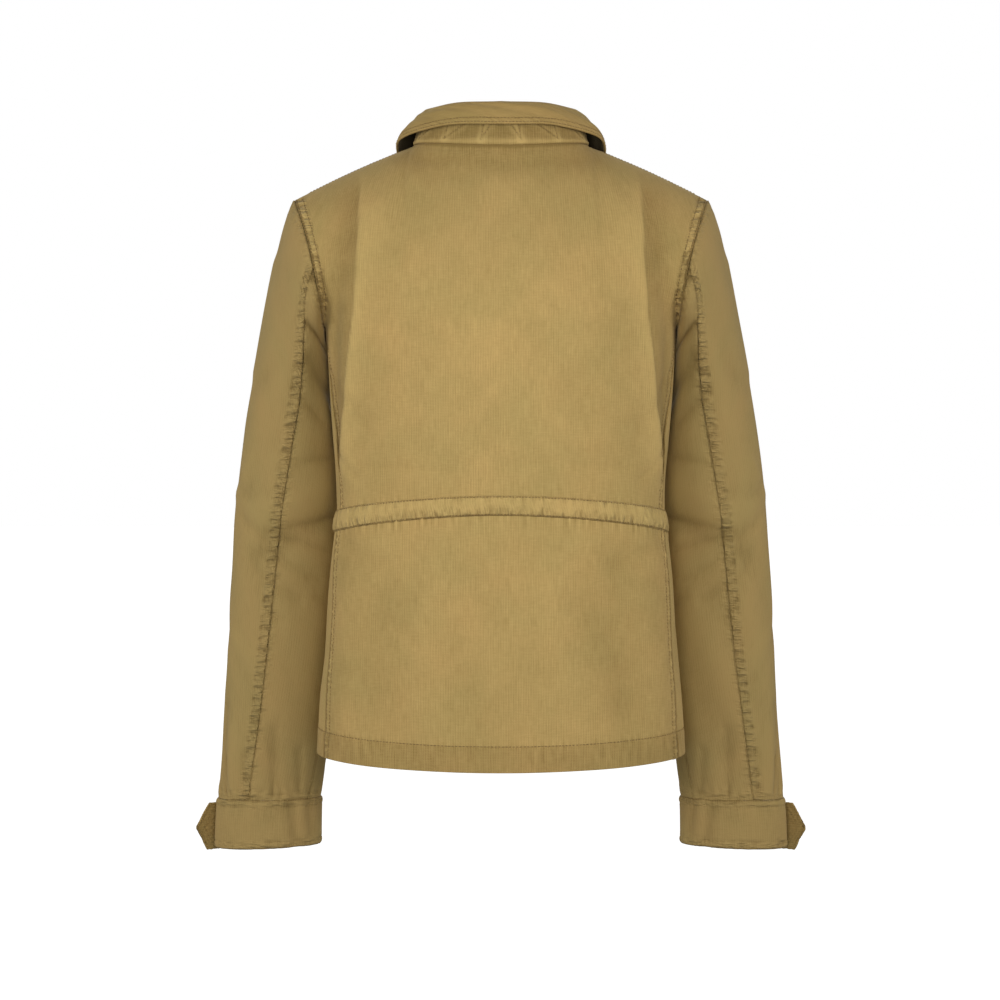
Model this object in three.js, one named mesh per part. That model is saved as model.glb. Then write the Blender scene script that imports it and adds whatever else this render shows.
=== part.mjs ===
// Field jacket in cotton twill, filled out as worn, with its sleeves hanging beside the body.
// Millimetres. +Z is up, the back faces +Y, the front faces -Y, and +X is the wearer's left.
// The origin is the middle of the neck opening, level with the neck seam at its sides.
import * as THREE from 'three';

// A table from the names of its columns and its rows of values.
function table(columns, rows) {
  return rows.map((row) => Object.fromEntries(columns.map((name, i) => [name, row[i]])));
}

// Cloth
const CLOTH = 1.8;              // wall of one panel
const SEAM_GAP = 0.3;           // room between two pieces at a seam
const LAY_GAP = 0.5;            // room under a strip that lies on a panel
const STRIP_CLOTH = 1.6;        // wall of a strip that lies on a panel
const SQUARENESS = { back: 2.5, front: 2 };   // 2 is an ellipse, more is flatter with rounder corners
const TINY = 1e-3;              // parameter step for surface directions

// Neck and shoulders
const NECK = { halfWidth: 84, backDepth: 66, frontDepth: 74, backZ: -6, sideZ: 3, frontZ: -66 };
const SHOULDER = { x: 197.5, y: -5, z: -48, crown: 2.3 };   // crown: the seam's rise at its middle
const NECK_SHARE = 0.42;        // share of a panel's columns that end at the neck seam
const SHOULDER_BLEND = 8;       // how late a column's wall turns square to the shoulder seam
const ARMHOLE = { depth: 60, backScoop: 6, frontScoop: 9 };

// Body sections from the hem up. Each has its height at centre back, side and centre front,
// half its width, its depth behind and before the origin, and the angle of the side seam
// from centre back.
const BODY_ROWS = table(
  ['backZ', 'sideZ', 'frontZ', 'half', 'back', 'front', 'seam'],
  [
    [-585.5, -576, -583.5, 176, 112, 108, 64.5],
    [-562, -554, -561, 174.6, 112, 108, 65],
    [-521, -519, -523, 172.5, 111, 107, 66],
    [-480, -483, -486, 168.8, 110, 106, 67],
    [-435, -443.5, -446, 166, 109, 105, 68],
    [-390, -403, -406, 163.2, 108, 104, 69],
    [-349, -366, -369, 159, 106, 102, 70],
    [-341, -356.5, -359.5, 157.4, 105.5, 102, 70],
    [-333, -347, -350, 156.8, 105.5, 102, 70],
    [-305, -315, -318, 157.6, 107.5, 105, 71],
    [-265, -272, -276, 160.8, 110.5, 110, 72.5],
    [-220, -223, -230, 164.5, 113.5, 115, 76],
    [-172, -172, -184, 168, 115, 118, 80],
  ],
);
const HEM_ROW = 0;
const CASING_ROWS = { low: 6, high: 8 };
const UNDERARM_ROW = BODY_ROWS.length - 1;

// Handles of the panels' columns above the underarm: share is the column's place from the
// centre to the armhole, rise and out lead up from the underarm, over and lift lead down
// from the shoulder or neck.
const BACK_COLUMNS = [
  { share: 0, rise: 62, out: 1, over: 17, lift: -44 },
  { share: 0.21, rise: 62, out: 2, over: 22, lift: -42 },
  { share: 0.42, rise: 68, out: 8, over: 66, lift: -10 },
  { share: 0.6, rise: 66, out: 14, over: 68, lift: -7 },
  { share: 0.8, rise: 52, out: 22, over: 66, lift: -5 },
  { share: 1, rise: 40, out: 30, over: 62, lift: -3 },
];
const FRONT_COLUMNS = [
  { share: 0, rise: 40, out: 2, over: 20, lift: -30 },
  { share: 0.21, rise: 48, out: 4, over: 24, lift: -32 },
  { share: 0.42, rise: 70, out: 8, over: 66, lift: -12 },
  { share: 0.6, rise: 66, out: 12, over: 68, lift: -8 },
  { share: 0.8, rise: 52, out: 20, over: 66, lift: -5 },
  { share: 1, rise: 40, out: 28, over: 62, lift: -3 },
];

// Soft folds of the body: from one place to another, each an angle from centre back and a
// height, with half a width and a height that is negative for a trough.
const BODY_FOLDS = [
  { angleA: 44, zA: -70, angleB: 60, zB: -300, width: 16, height: 3 },
  { angleA: -44, zA: -70, angleB: -60, zB: -300, width: 16, height: 3 },
  { angleA: 58, zA: -95, angleB: 70, zB: -270, width: 13, height: -2.5 },
  { angleA: -58, zA: -95, angleB: -70, zB: -270, width: 13, height: -2.5 },
  { angleA: -36, zA: -400, angleB: -40, zB: -520, width: 22, height: -2.5 },
  { angleA: 38, zA: -430, angleB: 36, zB: -540, width: 22, height: -1.8 },
  { angleA: 125, zA: -120, angleB: 138, zB: -300, width: 16, height: 2.5 },
  { angleA: -124, zA: -130, angleB: -136, zB: -290, width: 16, height: 2.5 },
  { angleA: 150, zA: -400, angleB: 147, zB: -540, width: 20, height: -2.2 },
  { angleA: -146, zA: -390, angleB: -150, zB: -520, width: 20, height: -2.4 },
];
const BODY_MM_PER_DEGREE = 2.5;
const PULL_START = { back: 0.4, front: 0.1 };   // share where a panel starts to bend to its armhole

// Sleeve sections from the armhole down: the outer and inner ends of each, its middle and
// half its depth in y, how much its inner end lies further back than its outer, its scoop at
// the armhole, and the angles of the hind and inner seams from the outer end.
const SLEEVE_ROWS = table(
  ['outX', 'outZ', 'inX', 'inZ', 'midY', 'depth', 'lean', 'scoop', 'hind', 'inner'],
  [
    [203.5, -62, 170.3, -177.5, 5.5, 61.5, 11.5, 6, 100, 180],
    [209, -79, 169.8, -183.5, 1, 62, 11, 4, 103, 180],
    [215, -103, 168.6, -191.5, -6, 62, 8, 2, 106, 180],
    [222.5, -134, 167, -206, -15, 61, 6, 1, 108, 180],
    [230.5, -172, 164.8, -228, -24, 58, 4, 0, 108, 180],
    [239, -216, 162, -256, -32, 53, 2, 0, 104, 179],
    [247.5, -264, 160, -290, -38.5, 49, 0, 0, 97, 176],
    [254.3, -311, 158.5, -328, -44, 46, 0, 0, 91, 172],
    [259.3, -357, 157.8, -365, -48.5, 44, 0, 0, 86, 168],
    [262.6, -404, 158.3, -407, -52, 43, 0, 0, 83, 164],
    [265.8, -456, 160.5, -456, -55, 41, 0, 0, 80, 159],
    [268.4, -506, 164.3, -504, -57.5, 39, 0, 0, 77, 155],
    [271.8, -556, 169.5, -553, -59.5, 36, 0, 0, 74, 150],
    [274.9, -600, 175, -597, -61, 32.5, 0, 0, 71, 146],
    [276.6, -629.4, 179.1, -627.8, -61, 29, 0, 0, 69, 142],
  ],
);
const SLEEVE_END = SLEEVE_ROWS.length;   // the armhole itself is row 0

// Soft folds of a sleeve, between angles round it and heights.
const SLEEVE_FOLDS = [
  { angleA: 62, zA: -388, angleB: 150, zB: -352, width: 11, height: -3 },
  { angleA: 60, zA: -350, angleB: 140, zB: -322, width: 14, height: 2 },
  { angleA: 120, zA: -205, angleB: 168, zB: -240, width: 11, height: -3 },
  { angleA: 16, zA: -540, angleB: 22, zB: -625, width: 9, height: -2.4 },
  { angleA: 40, zA: -565, angleB: 44, zB: -628, width: 8, height: 1.6 },
  { angleA: -40, zA: -330, angleB: -120, zB: -372, width: 14, height: -3 },
  { angleA: -30, zA: -420, angleB: -90, zB: -455, width: 14, height: -2 },
  { angleA: -110, zA: -215, angleB: -168, zB: -250, width: 12, height: -3 },
];
const SLEEVE_MM_PER_DEGREE = 0.85;
const SLEEVE = {
  firstRow: 0.07,     // room at the armhole, as a share of a row
  seamAngle: 0.3,     // half the room at a sleeve seam, in degrees
  underRoom: 1.6,     // more room at the underarm, outward
  calmRows: 3,        // rows over which the folds grow from the armhole down
};

// Cuffs and their tabs
const CUFF = { wall: 2.4 };
const CUFF_ROWS = table(
  ['outX', 'outZ', 'inX', 'inZ', 'midY', 'depth'],
  [
    [277.7, -630, 178.4, -628.5, -61, 30],
    [279.2, -652.5, 178.8, -650.5, -61.5, 30.5],
    [280, -676.5, 179, -672.5, -62, 30.5],
  ],
);
const TAB = {
  startAngle: -88, leaveAngle: -36, bend: 0.55, reach: 36, point: 13, blunt: 0.04, wall: 2, topZ: -636,
  bottomZ: -681,
};

// Collar, by angle round the neck from centre back. High is the fold's height over the neck
// seam, narrow is how much the fold lies inside it, drop and spread place the fall's edge
// below and outside the fold, and round is 1 where the fall rolls over and 0 where it is flat.
const COLLAR_ROWS = table(
  ['angle', 'high', 'narrow', 'drop', 'spread', 'round'],
  [
    [0, 44, 11, 23.7, 12, 1],
    [30, 42, 10.8, 23, 13, 1],
    [60, 36, 10.4, 24.3, 15.5, 0.6],
    [85, 34, 9, 30, 24, 0],
    [105, 31, 9, 36, 29, 0],
    [130, 31, 8, 46, 36, 0.4],
    [150, 31, 6, 69, 37, 0.6],
    [166, 30, 5, 68, 33, 0.6],
  ],
);
const COLLAR = {
  endAngle: 166, standWall: 1.8, fallWall: 2,
  seamRoom: 1.1,      // from the neck seam up to the stand's lower edge
  foldRoom: 4.8,      // from the stand's upper edge up to the fold
  standInside: 0.8,   // how far the stand's lower edge lies inside the neck seam
  foldWidth: 1.5,     // from the stand's upper edge out to where the fall begins
  crestDrop: 0.5,     // how much of the fall's drop is even from the fold to its edge
  leanPower: 1.6,     // how late the stand leans in on its way up
  reachPower: { flat: 1, round: 0.75 },
  dropPower: { flat: 0.5, round: 0.8 },
  firstPlace: 0.01,   // where directions on the fold are taken from
  step: 0.02,
};

// Casing, fly strip and buttons
const CASING = { puff: 1.6, flyRoom: 3.5, leastStep: 10 };
const FRONT_SPAN = 345;         // width of a front at its middle for each whole share
const FLY = { left: 18, right: -26, seamX: -10, topTrim: 0.012 };
const BUTTON = {
  radius: 9, rim: 1.1, rimWidth: 2.2, rimSlope: 0.8, thick: 3.2, room: 0.6, centreX: -4, count: 6,
  lowZ: -545, highZ: -96,
};
const TAB_BUTTON = { radius: 7, thick: 2.8, angle: -60 };
const ROUND_STEPS = 12;
const HALVINGS = 30;

// Grid steps
const STEPS = {
  neck: 5, shoulder: 7, hemToCasing: 8, casingToUnderarm: 6, upper: 9, topSleeve: 20, underSleeve: 6,
  sleeveRows: 24, cuff: 28, collar: 34, collarFall: 4, stand: 2, tabBend: 4, tabReach: 2,
};

const khaki = (colour) => new THREE.MeshStandardMaterial({ color: colour, roughness: 0.9, metalness: 0 });
const TWILL = khaki('#a98f5c');
const TWILL_UNDER = khaki('#8c7547');
const TRIM = khaki('#a08453');
const BUTTON_PLASTIC = new THREE.MeshStandardMaterial({ color: '#5f4c2e', roughness: 0.45, metalness: 0 });

const radians = THREE.MathUtils.degToRad;
const lerp = THREE.MathUtils.lerp;
const jacket = new THREE.Group();

// Every column of a table at a place between its rows, on a smooth curve through them.
function between(rows, place) {
  const last = rows.length - 1;
  const i = Math.min(Math.max(Math.floor(place), 0), last - 1);
  const t = place - i;
  const at = (k) => rows[Math.min(Math.max(k, 0), last)];
  const result = {};
  for (const key of Object.keys(rows[0])) {
    const a = i > 0 ? at(i - 1)[key] : 2 * at(0)[key] - at(1)[key];
    const b = at(i)[key];
    const c = at(i + 1)[key];
    const d = i + 2 <= last ? at(i + 2)[key] : 2 * at(last)[key] - at(last - 1)[key];
    result[key] = b + 0.5 * t * (c - a + t * (2 * a - 5 * b + 4 * c - d + t * (3 * (b - c) + d - a)));
  }
  return result;
}

// A table read by one of its own columns.
function readAt(rows, key, value) {
  let i = 0;
  while (i < rows.length - 2 && rows[i + 1][key] < value) i += 1;
  return between(rows, i + (value - rows[i][key]) / (rows[i + 1][key] - rows[i][key]));
}

// The sum of soft folds at a place: each falls off as a bell round its own line.
function foldHeight(folds, angle, z, mmPerDegree) {
  let sum = 0;
  for (const fold of folds) {
    const ax = fold.angleA * mmPerDegree;
    const dx = fold.angleB * mmPerDegree - ax;
    const dz = fold.zB - fold.zA;
    const px = angle * mmPerDegree - ax;
    const pz = z - fold.zA;
    const t = Math.min(Math.max((px * dx + pz * dz) / (dx * dx + dz * dz), 0), 1);
    const away = Math.hypot(px - t * dx, pz - t * dz) / fold.width;
    sum += fold.height * Math.exp(-away * away);
  }
  return sum;
}

// A point of the body's section at an angle from centre back.
function bodySection(row, angle) {
  const s = Math.sin(radians(angle));
  const c = Math.cos(radians(angle));
  const power = c > 0 ? SQUARENESS.back : SQUARENESS.front;
  const grow = (Math.abs(s) ** power + Math.abs(c) ** power) ** (-1 / power);
  const depth = c > 0 ? row.back : row.front;
  const endZ = c > 0 ? row.backZ : row.frontZ;
  return new THREE.Vector3(grow * row.half * s, grow * depth * c, lerp(row.sideZ, endZ, c * c));
}

// The neck seam at an angle from centre back.
function neckSeam(angle) {
  const s = Math.sin(radians(angle));
  const c = Math.cos(radians(angle));
  const depth = c > 0 ? NECK.backDepth : NECK.frontDepth;
  const endZ = c > 0 ? NECK.backZ : NECK.frontZ;
  return new THREE.Vector3(NECK.halfWidth * s, depth * c, lerp(NECK.sideZ, endZ, c * c));
}

const UNDERARM = bodySection(BODY_ROWS[UNDERARM_ROW], BODY_ROWS[UNDERARM_ROW].seam);

// The armhole, an oval from the shoulder's tip at 0 to the underarm at 180 degrees, the
// back half at positive angles.
function armhole(angle) {
  const s = Math.sin(radians(angle));
  const toTip = (1 + Math.cos(radians(angle))) / 2;
  const scoop = s > 0 ? ARMHOLE.backScoop : ARMHOLE.frontScoop;
  return new THREE.Vector3(
    lerp(UNDERARM.x, SHOULDER.x, toTip) - scoop * s * s,
    lerp(UNDERARM.y, SHOULDER.y, toTip) + ARMHOLE.depth * s,
    lerp(UNDERARM.z, SHOULDER.z, toTip),
  );
}

// The upper end of a panel's column: on the neck seam, then along the shoulder seam.
function panelTop(share, isBack) {
  if (share < NECK_SHARE) {
    const angle = 90 * share / NECK_SHARE;
    return neckSeam(isBack ? angle : 180 - angle);
  }
  const t = (share - NECK_SHARE) / (1 - NECK_SHARE);
  return new THREE.Vector3(
    lerp(NECK.halfWidth, SHOULDER.x, t),
    lerp(0, SHOULDER.y, t),
    lerp(NECK.sideZ, SHOULDER.z, t) + SHOULDER.crown * Math.sin(radians(180 * t)),
  );
}

function sectionAngle(row, share, isBack) {
  return isBack ? share * row.seam : 180 - share * (180 - row.seam);
}

// A column above the underarm: a curve with two handles, from its place on the underarm
// section to its upper end.
function upperColumn(share, w, isBack) {
  const low = bodySection(BODY_ROWS[UNDERARM_ROW], sectionAngle(BODY_ROWS[UNDERARM_ROW], share, isBack));
  const top = panelTop(share, isBack);
  const handle = readAt(isBack ? BACK_COLUMNS : FRONT_COLUMNS, 'share', share);
  const way = isBack ? 1 : -1;
  const third = (top.x - low.x) / 3;
  const curve = new THREE.CubicBezierCurve3(
    low,
    new THREE.Vector3(low.x + third, low.y + way * handle.out, low.z + handle.rise),
    new THREE.Vector3(top.x - third, top.y + way * handle.over, top.z + handle.lift),
    top,
  );
  return curve.getPoint(w);
}

// A point of the body at a row and a share of the way from the centre to the side, negative
// on the wearer's right.
function bodyPoint(share, row, isBack) {
  const side = share < 0 ? -1 : 1;
  const across = Math.abs(share);
  let point;
  if (row <= UNDERARM_ROW) {
    const section = between(BODY_ROWS, row);
    point = bodySection(section, sectionAngle(section, across, isBack));
  } else {
    const w = Math.min(row - UNDERARM_ROW, 1);
    point = upperColumn(across, w, isBack);
    const start = isBack ? PULL_START.back : PULL_START.front;
    const pull = Math.max(across - start, 0) / (1 - start);
    const angle = THREE.MathUtils.radToDeg(Math.acos(2 * w - 1));
    const edge = armhole(isBack ? angle : -angle);
    point.add(edge.sub(upperColumn(1, w, isBack)).multiplyScalar(pull * pull));
  }
  point.x *= side;
  return point;
}

// The outward direction of a surface, square to its two directions of travel, the second of
// them taken between two given places.
function outward(surface, u, low, high, turn) {
  const v = (low + high) / 2;
  const du = surface(u + TINY, v).sub(surface(u - TINY, v));
  const dv = surface(u, high).sub(surface(u, low));
  return du.cross(dv).multiplyScalar(turn).normalize();
}

// The outward direction of the body, where rows above the underarm are kept apart from those
// below it.
function bodyOutward(share, row, isBack) {
  const surface = (u, v) => bodyPoint(u, v, isBack);
  const isUpper = row > UNDERARM_ROW;
  const low = isUpper ? Math.max(row - TINY, UNDERARM_ROW + TINY) : row - TINY;
  const high = isUpper ? Math.min(row + TINY, UNDERARM_ROW + 1) : Math.min(row + TINY, UNDERARM_ROW);
  return outward(surface, share, low, high, bodyTurn(isBack));
}

const bodyTurn = (isBack) => (isBack ? -1 : 1);
const SHOULDER_NORMAL = new THREE.Vector3(
  NECK.sideZ - SHOULDER.z, 0, SHOULDER.x - NECK.halfWidth,
).normalize();

// A point of the body moved out of the panel's cloth by a given height.
function bodyLayer(share, row, isBack, lift) {
  const point = bodyPoint(share, row, isBack);
  const normal = bodyOutward(share, row, isBack);
  const atSeam = Math.abs(share) === 1 || row === UNDERARM_ROW + 1;
  if (atSeam) point.y += (isBack ? 1 : -1) * SEAM_GAP / 2;
  const seam = between(BODY_ROWS, Math.min(row, UNDERARM_ROW));
  const onShoulder = row > UNDERARM_ROW ? row - UNDERARM_ROW : 0;
  if (Math.abs(share) >= NECK_SHARE) {
    const seamNormal = SHOULDER_NORMAL.clone();
    seamNormal.x *= Math.sign(share);
    normal.lerp(seamNormal, onShoulder ** SHOULDER_BLEND).normalize();
  }
  const angle = Math.sign(share) * sectionAngle(seam, Math.abs(share), isBack);
  const calm = 1 - onShoulder ** 2;
  const height = calm * foldHeight(BODY_FOLDS, angle, point.z, BODY_MM_PER_DEGREE);
  return point.addScaledVector(normal, height + lift);
}

// A closed wall between two layers of a grid. Each layer gives a point for column i, row j.
function wall(outer, inner, columns, rows, isRing, turn) {
  const points = [];
  const faces = [];
  const width = isRing ? columns : columns + 1;
  const count = width * (rows + 1);
  for (const layer of [outer, inner]) {
    for (let j = 0; j <= rows; j += 1) {
      for (let i = 0; i < width; i += 1) points.push(layer(i, j));
    }
  }
  const at = (i, j, layer) => layer * count + j * width + (i % width);
  const quad = (a, b, c, d) => {
    if (turn > 0) faces.push([a, b, c], [a, c, d]);
    else faces.push([a, c, b], [a, d, c]);
  };
  for (let j = 0; j < rows; j += 1) {
    for (let i = 0; i < columns; i += 1) {
      quad(at(i, j, 0), at(i + 1, j, 0), at(i + 1, j + 1, 0), at(i, j + 1, 0));
      quad(at(i, j, 1), at(i, j + 1, 1), at(i + 1, j + 1, 1), at(i + 1, j, 1));
    }
  }
  for (let i = 0; i < columns; i += 1) {
    quad(at(i, 0, 0), at(i, 0, 1), at(i + 1, 0, 1), at(i + 1, 0, 0));
    quad(at(i, rows, 0), at(i + 1, rows, 0), at(i + 1, rows, 1), at(i, rows, 1));
  }
  if (!isRing) {
    for (let j = 0; j < rows; j += 1) {
      quad(at(0, j, 0), at(0, j + 1, 0), at(0, j + 1, 1), at(0, j, 1));
      quad(at(columns, j, 0), at(columns, j, 1), at(columns, j + 1, 1), at(columns, j + 1, 0));
    }
  }
  const geometry = new THREE.BufferGeometry();
  const flat = points.flatMap((p) => [p.x, p.y, p.z]);
  geometry.setAttribute('position', new THREE.Float32BufferAttribute(flat, 3));
  geometry.setIndex(faces.flat());
  geometry.computeVertexNormals();
  return geometry;
}

function add(name, geometry, material) {
  const mesh = new THREE.Mesh(geometry, material);
  mesh.name = name;
  jacket.add(mesh);
  return mesh;
}

// Even steps from a to b, the last one included.
function steps(a, b, count) {
  return Array.from({ length: count + 1 }, (_, i) => lerp(a, b, i / count));
}

// Columns of half a panel, with one exactly at the corner of neck and shoulder.
function halfColumns(start) {
  const neck = steps(start, NECK_SHARE, STEPS.neck);
  return neck.concat(steps(NECK_SHARE, 1, STEPS.shoulder).slice(1));
}

// Rows of a panel, with some exactly at the casing and the underarm.
function panelRows() {
  const low = steps(HEM_ROW, CASING_ROWS.low, STEPS.hemToCasing);
  const casing = steps(CASING_ROWS.low, CASING_ROWS.high, 2).slice(1);
  const high = steps(CASING_ROWS.high, UNDERARM_ROW, STEPS.casingToUnderarm).slice(1);
  const turns = steps(0, 180, STEPS.upper).slice(1);
  const upper = turns.map((a) => UNDERARM_ROW + (1 - Math.cos(radians(a))) / 2);
  return low.concat(casing, high, upper);
}

// A strip or panel over columns and rows of the body, between two heights over its surface.
function bodyWall(columns, rows, isBack, low, high) {
  return wall(
    (i, j) => bodyLayer(columns[i], rows[j], isBack, high),
    (i, j) => bodyLayer(columns[i], rows[j], isBack, low),
    columns.length - 1, rows.length - 1, false, bodyTurn(isBack),
  );
}

function buildBack() {
  const half = halfColumns(0);
  const columns = half.slice(1).reverse().map((s) => -s).concat(half);
  add('back', bodyWall(columns, panelRows(), true, -CLOTH, 0), TWILL);
}

const FLY_SEAM = FLY.seamX / FRONT_SPAN;
const FLY_ROOM = SEAM_GAP / 2 / FRONT_SPAN;

function buildFronts() {
  const left = halfColumns(0);
  left.unshift(FLY_SEAM + FLY_ROOM);
  add('front_left', bodyWall(left, panelRows(), false, -CLOTH, 0), TWILL);
  const right = halfColumns(FLY_ROOM - FLY_SEAM).reverse().map((s) => -s);
  add('front_right', bodyWall(right, panelRows(), false, -CLOTH, 0), TWILL);
}

// The columns of a strip share those of the panel under it.
function buildCasing() {
  const rows = steps(CASING_ROWS.low, CASING_ROWS.high, 2);
  const half = halfColumns(0);
  const backColumns = half.slice(1).reverse().map((s) => -s).concat(half);
  const low = LAY_GAP;
  const high = LAY_GAP + STRIP_CLOTH;
  const puff = [0, CASING.puff, 0];
  const strip = (columns, isBack) => wall(
    (i, j) => bodyLayer(columns[i], rows[j], isBack, high + puff[j]),
    (i, j) => bodyLayer(columns[i], rows[j], isBack, low),
    columns.length - 1, rows.length - 1, false, bodyTurn(isBack),
  );
  add('casing_back', strip(backColumns, true), TRIM);
  const flyLeft = (FLY.left + CASING.flyRoom) / FRONT_SPAN;
  const flyRight = (FLY.right - CASING.flyRoom) / FRONT_SPAN;
  const least = CASING.leastStep / FRONT_SPAN;
  const left = half.filter((s) => s > flyLeft + least);
  left.unshift(flyLeft);
  const right = half.filter((s) => s > least - flyRight).reverse().map((s) => -s);
  right.push(flyRight);
  add('casing_left', strip(left, false), TRIM);
  add('casing_right', strip(right, false), TRIM);
}

function buildFly() {
  const rows = panelRows();
  rows[rows.length - 1] -= FLY.topTrim;
  const columns = [FLY.right / FRONT_SPAN, FLY_SEAM, 0, FLY.left / FRONT_SPAN];
  add('front_placket', bodyWall(columns, rows, false, LAY_GAP, LAY_GAP + STRIP_CLOTH), TWILL);
}

// A button turned about its own axis, closed on that axis, with a raised rim.
function buttonGeometry(radius, thick) {
  const rimInner = radius - BUTTON.rimWidth;
  const floor = thick - BUTTON.rim;
  const profile = [
    [0, 0], [radius, 0], [radius, thick],
    [rimInner, thick], [rimInner - BUTTON.rimSlope, floor], [0, floor],
  ];
  return new THREE.LatheGeometry(profile.map(([x, y]) => new THREE.Vector2(x, y)), ROUND_STEPS);
}

function placeButton(name, radius, thick, point, normal) {
  const mesh = add(name, buttonGeometry(radius, thick), BUTTON_PLASTIC);
  mesh.position.copy(point);
  mesh.quaternion.setFromUnitVectors(new THREE.Vector3(0, 1, 0), normal);
}

// The row whose centre front lies at a height, found by halving.
function rowAtHeight(z) {
  let low = 0;
  let high = UNDERARM_ROW + 1;
  for (let i = 0; i < HALVINGS; i += 1) {
    const middle = (low + high) / 2;
    if (bodyPoint(0, middle, false).z < z) low = middle;
    else high = middle;
  }
  return low;
}

function buildButtons() {
  const lift = LAY_GAP + STRIP_CLOTH + BUTTON.room;
  steps(BUTTON.lowZ, BUTTON.highZ, BUTTON.count - 1).forEach((z, i) => {
    const row = rowAtHeight(z);
    const share = BUTTON.centreX / FRONT_SPAN;
    const normal = bodyOutward(share, row, false);
    placeButton(`button_${i + 1}`, BUTTON.radius, BUTTON.thick, bodyLayer(share, row, false, lift), normal);
  });
}

// A point of the left sleeve at an angle from its outer end, the back half at positive angles.
function sleevePoint(angle, row) {
  const s = Math.sin(radians(angle));
  const c = Math.cos(radians(angle));
  const hole = armhole(((angle + 540) % 360) - 180);
  const t = Math.min(Math.max(row, 0), 1);
  const section = between(SLEEVE_ROWS, Math.max(row, 1) - 1);
  const toTip = (1 + c) / 2;
  const point = new THREE.Vector3(
    lerp(section.inX, section.outX, toTip) - section.scoop * s * s,
    section.midY - section.lean * c + section.depth * s,
    lerp(section.inZ, section.outZ, toTip),
  );
  hole.x += SLEEVE.underRoom * (1 - toTip);
  return row < 1 ? hole.lerp(point, t) : point;
}

// Near the armhole the sleeve's wall leans as the panel's edge does, so that the two match.
function sleeveLayer(angle, row, lift, side) {
  const point = sleevePoint(angle, row);
  const normal = outward(sleevePoint, angle, row - TINY, row + TINY, -1);
  const turned = ((angle + 540) % 360) - 180;
  if (row < 1) {
    const w = Math.min(Math.max((1 + Math.cos(radians(angle))) / 2, TINY), 1 - TINY);
    normal.lerp(bodyOutward(1, UNDERARM_ROW + w, turned > 0), 1 - row).normalize();
  }
  const calm = Math.min(row / SLEEVE.calmRows, 1);
  const height = calm * foldHeight(SLEEVE_FOLDS, turned, point.z, SLEEVE_MM_PER_DEGREE);
  point.addScaledVector(normal, height + lift);
  point.x *= side;
  return point;
}

// The angles of the hind and inner seams at a row.
function sleeveSeams(row) {
  return between(SLEEVE_ROWS, Math.max(row, 1) - 1);
}

function buildSleeves() {
  const rows = steps(SLEEVE.firstRow, SLEEVE_END, STEPS.sleeveRows);
  const half = SLEEVE.seamAngle;
  for (const [side, word] of [[1, 'left'], [-1, 'right']]) {
    const top = (lift) => (i, j) => {
      const seam = sleeveSeams(rows[j]);
      const angle = lerp(seam.inner - 360 + half, seam.hind - half, i / STEPS.topSleeve);
      return sleeveLayer(angle, rows[j], lift, side);
    };
    const under = (lift) => (i, j) => {
      const seam = sleeveSeams(rows[j]);
      const angle = lerp(seam.hind + half, seam.inner - half, i / STEPS.underSleeve);
      return sleeveLayer(angle, rows[j], lift, side);
    };
    const turn = -side;
    const topWall = wall(top(0), top(-CLOTH), STEPS.topSleeve, STEPS.sleeveRows, false, turn);
    add(`sleeve_top_${word}`, topWall, TWILL);
    const underWall = wall(under(0), under(-CLOTH), STEPS.underSleeve, STEPS.sleeveRows, false, turn);
    add(`sleeve_under_${word}`, underWall, TWILL_UNDER);
  }
}

// A point of the left cuff, moved out square to its section.
function cuffPoint(angle, row, lift) {
  const section = between(CUFF_ROWS, row);
  const s = Math.sin(radians(angle));
  const c = Math.cos(radians(angle));
  const half = (section.outX - section.inX) / 2;
  const nx = c / half;
  const ny = s / section.depth;
  const size = Math.hypot(nx, ny);
  return new THREE.Vector3(
    (section.outX + section.inX) / 2 + half * c + lift * nx / size,
    section.midY + section.depth * s + lift * ny / size,
    lerp(section.inZ, section.outZ, (1 + c) / 2),
  );
}

function mirrored(point, side) {
  point.x *= side;
  return point;
}

// The tab's route seen from above: round the cuff's front, then straight on past its edge.
function tabPlace(along, row, lift) {
  const angle = lerp(TAB.startAngle, TAB.leaveAngle, Math.min(along / TAB.bend, 1));
  const point = cuffPoint(angle, row, lift);
  if (along > TAB.bend) {
    const ahead = cuffPoint(TAB.leaveAngle + 1, row, lift).sub(cuffPoint(TAB.leaveAngle, row, lift));
    ahead.z = 0;
    point.addScaledVector(ahead.normalize(), TAB.reach * (along - TAB.bend) / (1 - TAB.bend));
  }
  return point;
}

// Across runs from -1 at the tab's lower edge to 1 at its upper edge.
function tabLayer(along, across, lift, side) {
  const taper = Math.min((1 - along) * TAB.reach / (1 - TAB.bend) / TAB.point, 1);
  const half = (TAB.topZ - TAB.bottomZ) / 2 * lerp(TAB.blunt, 1, taper);
  const z = (TAB.topZ + TAB.bottomZ) / 2 + across * half;
  const top = CUFF_ROWS[0].outZ;
  const point = tabPlace(along, 2 * (top - z) / (top - CUFF_ROWS[2].outZ), lift);
  point.z = z;
  return mirrored(point, side);
}

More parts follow.
